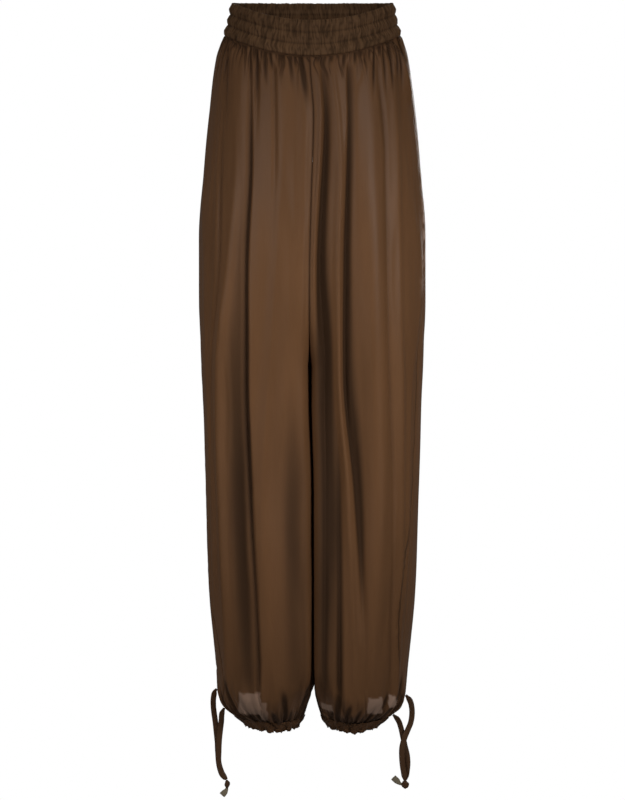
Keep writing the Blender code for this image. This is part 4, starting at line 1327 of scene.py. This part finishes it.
class ClothSettings(bpy.types.PropertyGroup):
    """Cloth of the trousers."""

    satin_colour: colour_setting("Satin colour", "Colour of the leg cloth", 0.150, 0.070, 0.0295)
    # Colour of the thin cloth with painted light coming through it
    sheer_colour: colour_setting(
        "Sheer colour", "Colour of the single layer near the hems", 0.50, 0.335, 0.25
    )
    band_colour: colour_setting(
        "Band colour", "Colour of the shirred waistband", 0.150, 0.077, 0.035
    )
    ribbon_colour: colour_setting(
        "Ribbon colour", "Colour of the drawstring ends", 0.100, 0.050, 0.024
    )
    # The tails' lighter colour is a painted highlight
    tail_colour: colour_setting(
        "Tail colour", "Colour of the ribbons' painted_highlight ends", 0.300, 0.250, 0.170
    )
    thread_colour: colour_setting("Thread colour", "Colour of the stitches", 0.060, 0.030, 0.015)
    satin_roughness: roughness_setting("Satin roughness", "Roughness of the leg cloth", 0.44)
    band_roughness: roughness_setting("Band roughness", "Roughness of the waistband", 0.58)
    cloth_thickness: length_setting(
        "Cloth thickness", "Thickness of each cloth shell", 0.0008, min=0.0002, max=0.003
    )


class StageSettings(bpy.types.PropertyGroup):
    """Floor, lights and camera."""

    floor_colour: colour_setting("Floor colour", "Colour of the plain floor", 0.5, 0.5, 0.5)
    floor_level: length_setting("Floor level", "Height of the floor", -1.19)
    key_power: power_setting("Key power", "Power of the front light on the right", 1.6)
    fill_power: power_setting("Fill power", "Power of the front light on the left", 1.2)
    top_power: power_setting("Top power", "Power of the light from above", 0.6)
    back_power: power_setting("Back power", "Power of the light behind", 4.5)
    camera_distance: length_setting(
        "Camera distance", "How far the camera stands from the trousers", 4.3, min=1.0
    )
    camera_height: length_setting("Camera height", "Height of the camera", -0.25)


class TROUSERS_OT_panels(bpy.types.Operator):
    """Make the four leg panels"""

    bl_idname = "trousers.panels"
    bl_label = "Leg panels"

    def execute(self, context):
        settings = context.scene.trousers_cloth
        for word, leg in SIDES:
            make_panel(settings, "front_" + word, leg, FRONT)
            make_panel(settings, "back_" + word, leg, BACK)
        return {"FINISHED"}


class TROUSERS_OT_pockets(bpy.types.Operator):
    """Make the side pockets"""

    bl_idname = "trousers.pockets"
    bl_label = "Pockets"

    def execute(self, context):
        for word, leg in SIDES:
            make_pocket(context.scene.trousers_cloth, "pocket_" + word, leg)
        return {"FINISHED"}


class TROUSERS_OT_waistband(bpy.types.Operator):
    """Make the shirred waistband and its stitches"""

    bl_idname = "trousers.waistband"
    bl_label = "Waistband"

    def execute(self, context):
        make_band(context.scene.trousers_cloth)
        make_stitches(context.scene.trousers_cloth)
        return {"FINISHED"}


class TROUSERS_OT_hems(bpy.types.Operator):
    """Make the gathered casings at the hems"""

    bl_idname = "trousers.hems"
    bl_label = "Hem casings"

    def execute(self, context):
        for word, leg in SIDES:
            make_casing(context.scene.trousers_cloth, "hem_" + word, leg)
        return {"FINISHED"}


class TROUSERS_OT_drawstrings(bpy.types.Operator):
    """Make the drawstring ends, their knots and the tails below them"""

    bl_idname = "trousers.drawstrings"
    bl_label = "Drawstring ends"

    def execute(self, context):
        settings = context.scene.trousers_cloth
        material = ribbon_satin(settings)
        for seed, (name, place) in enumerate(KNOTS.items()):
            side = name.split("_")[1]
            knot = make_knot(settings, name, place, seed + 1)
            tail_name = "tail_" + side
            points = curve_through((place,) + TAIL_ROUTES[tail_name], RIBBON_SPACING)
            mesh = ribbon_mesh(
                "ribbon_" + tail_name, points, place, TAIL_WIDTH, RIBBON_THICK, TAIL_TWIST,
                200 + seed,
            )
            tail = add_piece(
                "ribbon_" + tail_name, mesh, tail_satin(settings), (tail_name,)
            )
        for seed, (name, route) in enumerate(RIBBON_ROUTES.items()):
            side = name.split("_")[1]
            points = curve_through(route, RIBBON_SPACING)
            mesh = ribbon_mesh(
                "ribbon_" + name, points, KNOTS["knot_" + side], RIBBON_WIDTH, RIBBON_THICK,
                RIBBON_TWIST, 100 + 10 * seed,
            )
            made = add_piece("ribbon_" + name, mesh, material, (name,))
        return {"FINISHED"}


class TROUSERS_OT_stage(bpy.types.Operator):
    """Make the floor, the lights and the camera"""

    bl_idname = "trousers.stage"
    bl_label = "Stage"

    def execute(self, context):
        stage = context.scene.trousers_stage
        make_floor(stage)
        make_lights(stage)
        make_world(context.scene)
        make_camera(context.scene, stage)
        context.scene.view_settings.view_transform = "Standard"
        return {"FINISHED"}


def make_floor(stage):
    deselect_all()
    bpy.ops.mesh.primitive_plane_add(size=40.0, location=(0.0, 0.0, stage.floor_level))
    floor = bpy.context.object
    floor.name = "floor"
    material = bpy.data.materials.new("floor")
    material.use_nodes = True
    tree = material.node_tree
    shader = tree.nodes["Principled BSDF"]
    shader.inputs["Base Color"].default_value = (*stage.floor_colour, 1.0)
    shader.inputs["Roughness"].default_value = 0.9
    path = add_node(tree, "ShaderNodeLightPath", (-400, 300))
    glow = add_node(tree, "ShaderNodeEmission", (-200, 300), Strength=FLOOR_GLOW)
    mixed = add_node(tree, "ShaderNodeMixShader", (300, 200))
    tree.links.new(path.outputs["Is Camera Ray"], mixed.inputs["Fac"])
    tree.links.new(shader.outputs[0], mixed.inputs[1])
    tree.links.new(glow.outputs[0], mixed.inputs[2])
    tree.links.new(mixed.outputs[0], tree.nodes["Material Output"].inputs["Surface"])
    floor.data.materials.append(material)


def make_lights(stage):
    """Two front lights, a soft top light and one behind."""
    for row in LAMPS:
        bpy.ops.object.light_add(type="AREA", location=row.place)
        lamp = bpy.context.object
        lamp.name = row.name
        lamp.data.shape = "RECTANGLE"
        lamp.data.size, lamp.data.size_y = row.width, row.height
        lamp.data.energy = getattr(stage, row.name + "_power")
        lamp.data.spread = row.spread
        aim = Vector(LIGHT_TARGET) - Vector(row.place)
        lamp.rotation_euler = aim.to_track_quat("-Z", "Y").to_euler()


def make_world(scene):
    """White behind the trousers, and a dimmer white for what lights them."""
    world = bpy.data.worlds.new("studio")
    scene.world = world
    world.use_nodes = True
    tree = world.node_tree
    tree.nodes.clear()
    path = add_node(tree, "ShaderNodeLightPath", (-400, 200))
    lit = add_node(tree, "ShaderNodeBackground", (-200, 0), Strength=WORLD_LIGHT)
    seen = add_node(tree, "ShaderNodeBackground", (-200, -200), Strength=1.0)
    for shade in (lit, seen):
        shade.inputs["Color"].default_value = (1.0, 1.0, 1.0, 1.0)
    mixed = add_node(tree, "ShaderNodeMixShader", (50, 0))
    end = add_node(tree, "ShaderNodeOutputWorld", (250, 0))
    tree.links.new(path.outputs["Is Camera Ray"], mixed.inputs["Fac"])
    tree.links.new(lit.outputs[0], mixed.inputs[1])
    tree.links.new(seen.outputs[0], mixed.inputs[2])
    tree.links.new(mixed.outputs[0], end.inputs["Surface"])


def make_camera(scene, stage):
    place = Vector((0.0, -stage.camera_distance, stage.camera_height))
    data = bpy.data.cameras.new("camera")
    data.sensor_width = 36.0
    data.lens = CAMERA_LENS
    camera = bpy.data.objects.new("camera", data)
    camera.location = place
    camera.rotation_euler = (Vector(CAMERA_TARGET) - place).to_track_quat("-Z", "Y").to_euler()
    scene.collection.objects.link(camera)
    scene.camera = camera


class TROUSERS_PT_panel(bpy.types.Panel):
    """Buttons and settings in the 3D view's sidebar"""

    bl_label = "Balloon trousers"
    bl_idname = "TROUSERS_PT_panel"
    bl_space_type = "VIEW_3D"
    bl_region_type = "UI"
    bl_category = "Trousers"

    def draw(self, context):
        for group in (context.scene.trousers_cloth, context.scene.trousers_stage):
            box = self.layout.box()
            for name in group.__annotations__:
                box.prop(group, name)
        for operator in OPERATORS:
            self.layout.operator(operator.bl_idname)


OPERATORS = (
    TROUSERS_OT_panels,
    TROUSERS_OT_pockets,
    TROUSERS_OT_waistband,
    TROUSERS_OT_hems,
    TROUSERS_OT_drawstrings,
    TROUSERS_OT_stage,
)
CLASSES = (ClothSettings, StageSettings) + OPERATORS + (TROUSERS_PT_panel,)


def register():
    for kind in CLASSES:
        bpy.utils.register_class(kind)
    bpy.types.Scene.trousers_cloth = bpy.props.PointerProperty(type=ClothSettings)
    bpy.types.Scene.trousers_stage = bpy.props.PointerProperty(type=StageSettings)


def unregister():
    del bpy.types.Scene.trousers_stage
    del bpy.types.Scene.trousers_cloth
    for kind in reversed(CLASSES):
        bpy.utils.unregister_class(kind)


def main():
    register()
    bpy.ops.trousers.stage()
    bpy.ops.trousers.drawstrings()
    bpy.ops.trousers.waistband()
    bpy.ops.trousers.panels()
    bpy.ops.trousers.pockets()
    bpy.ops.trousers.hems()


if __name__ == "__main__":
    main()
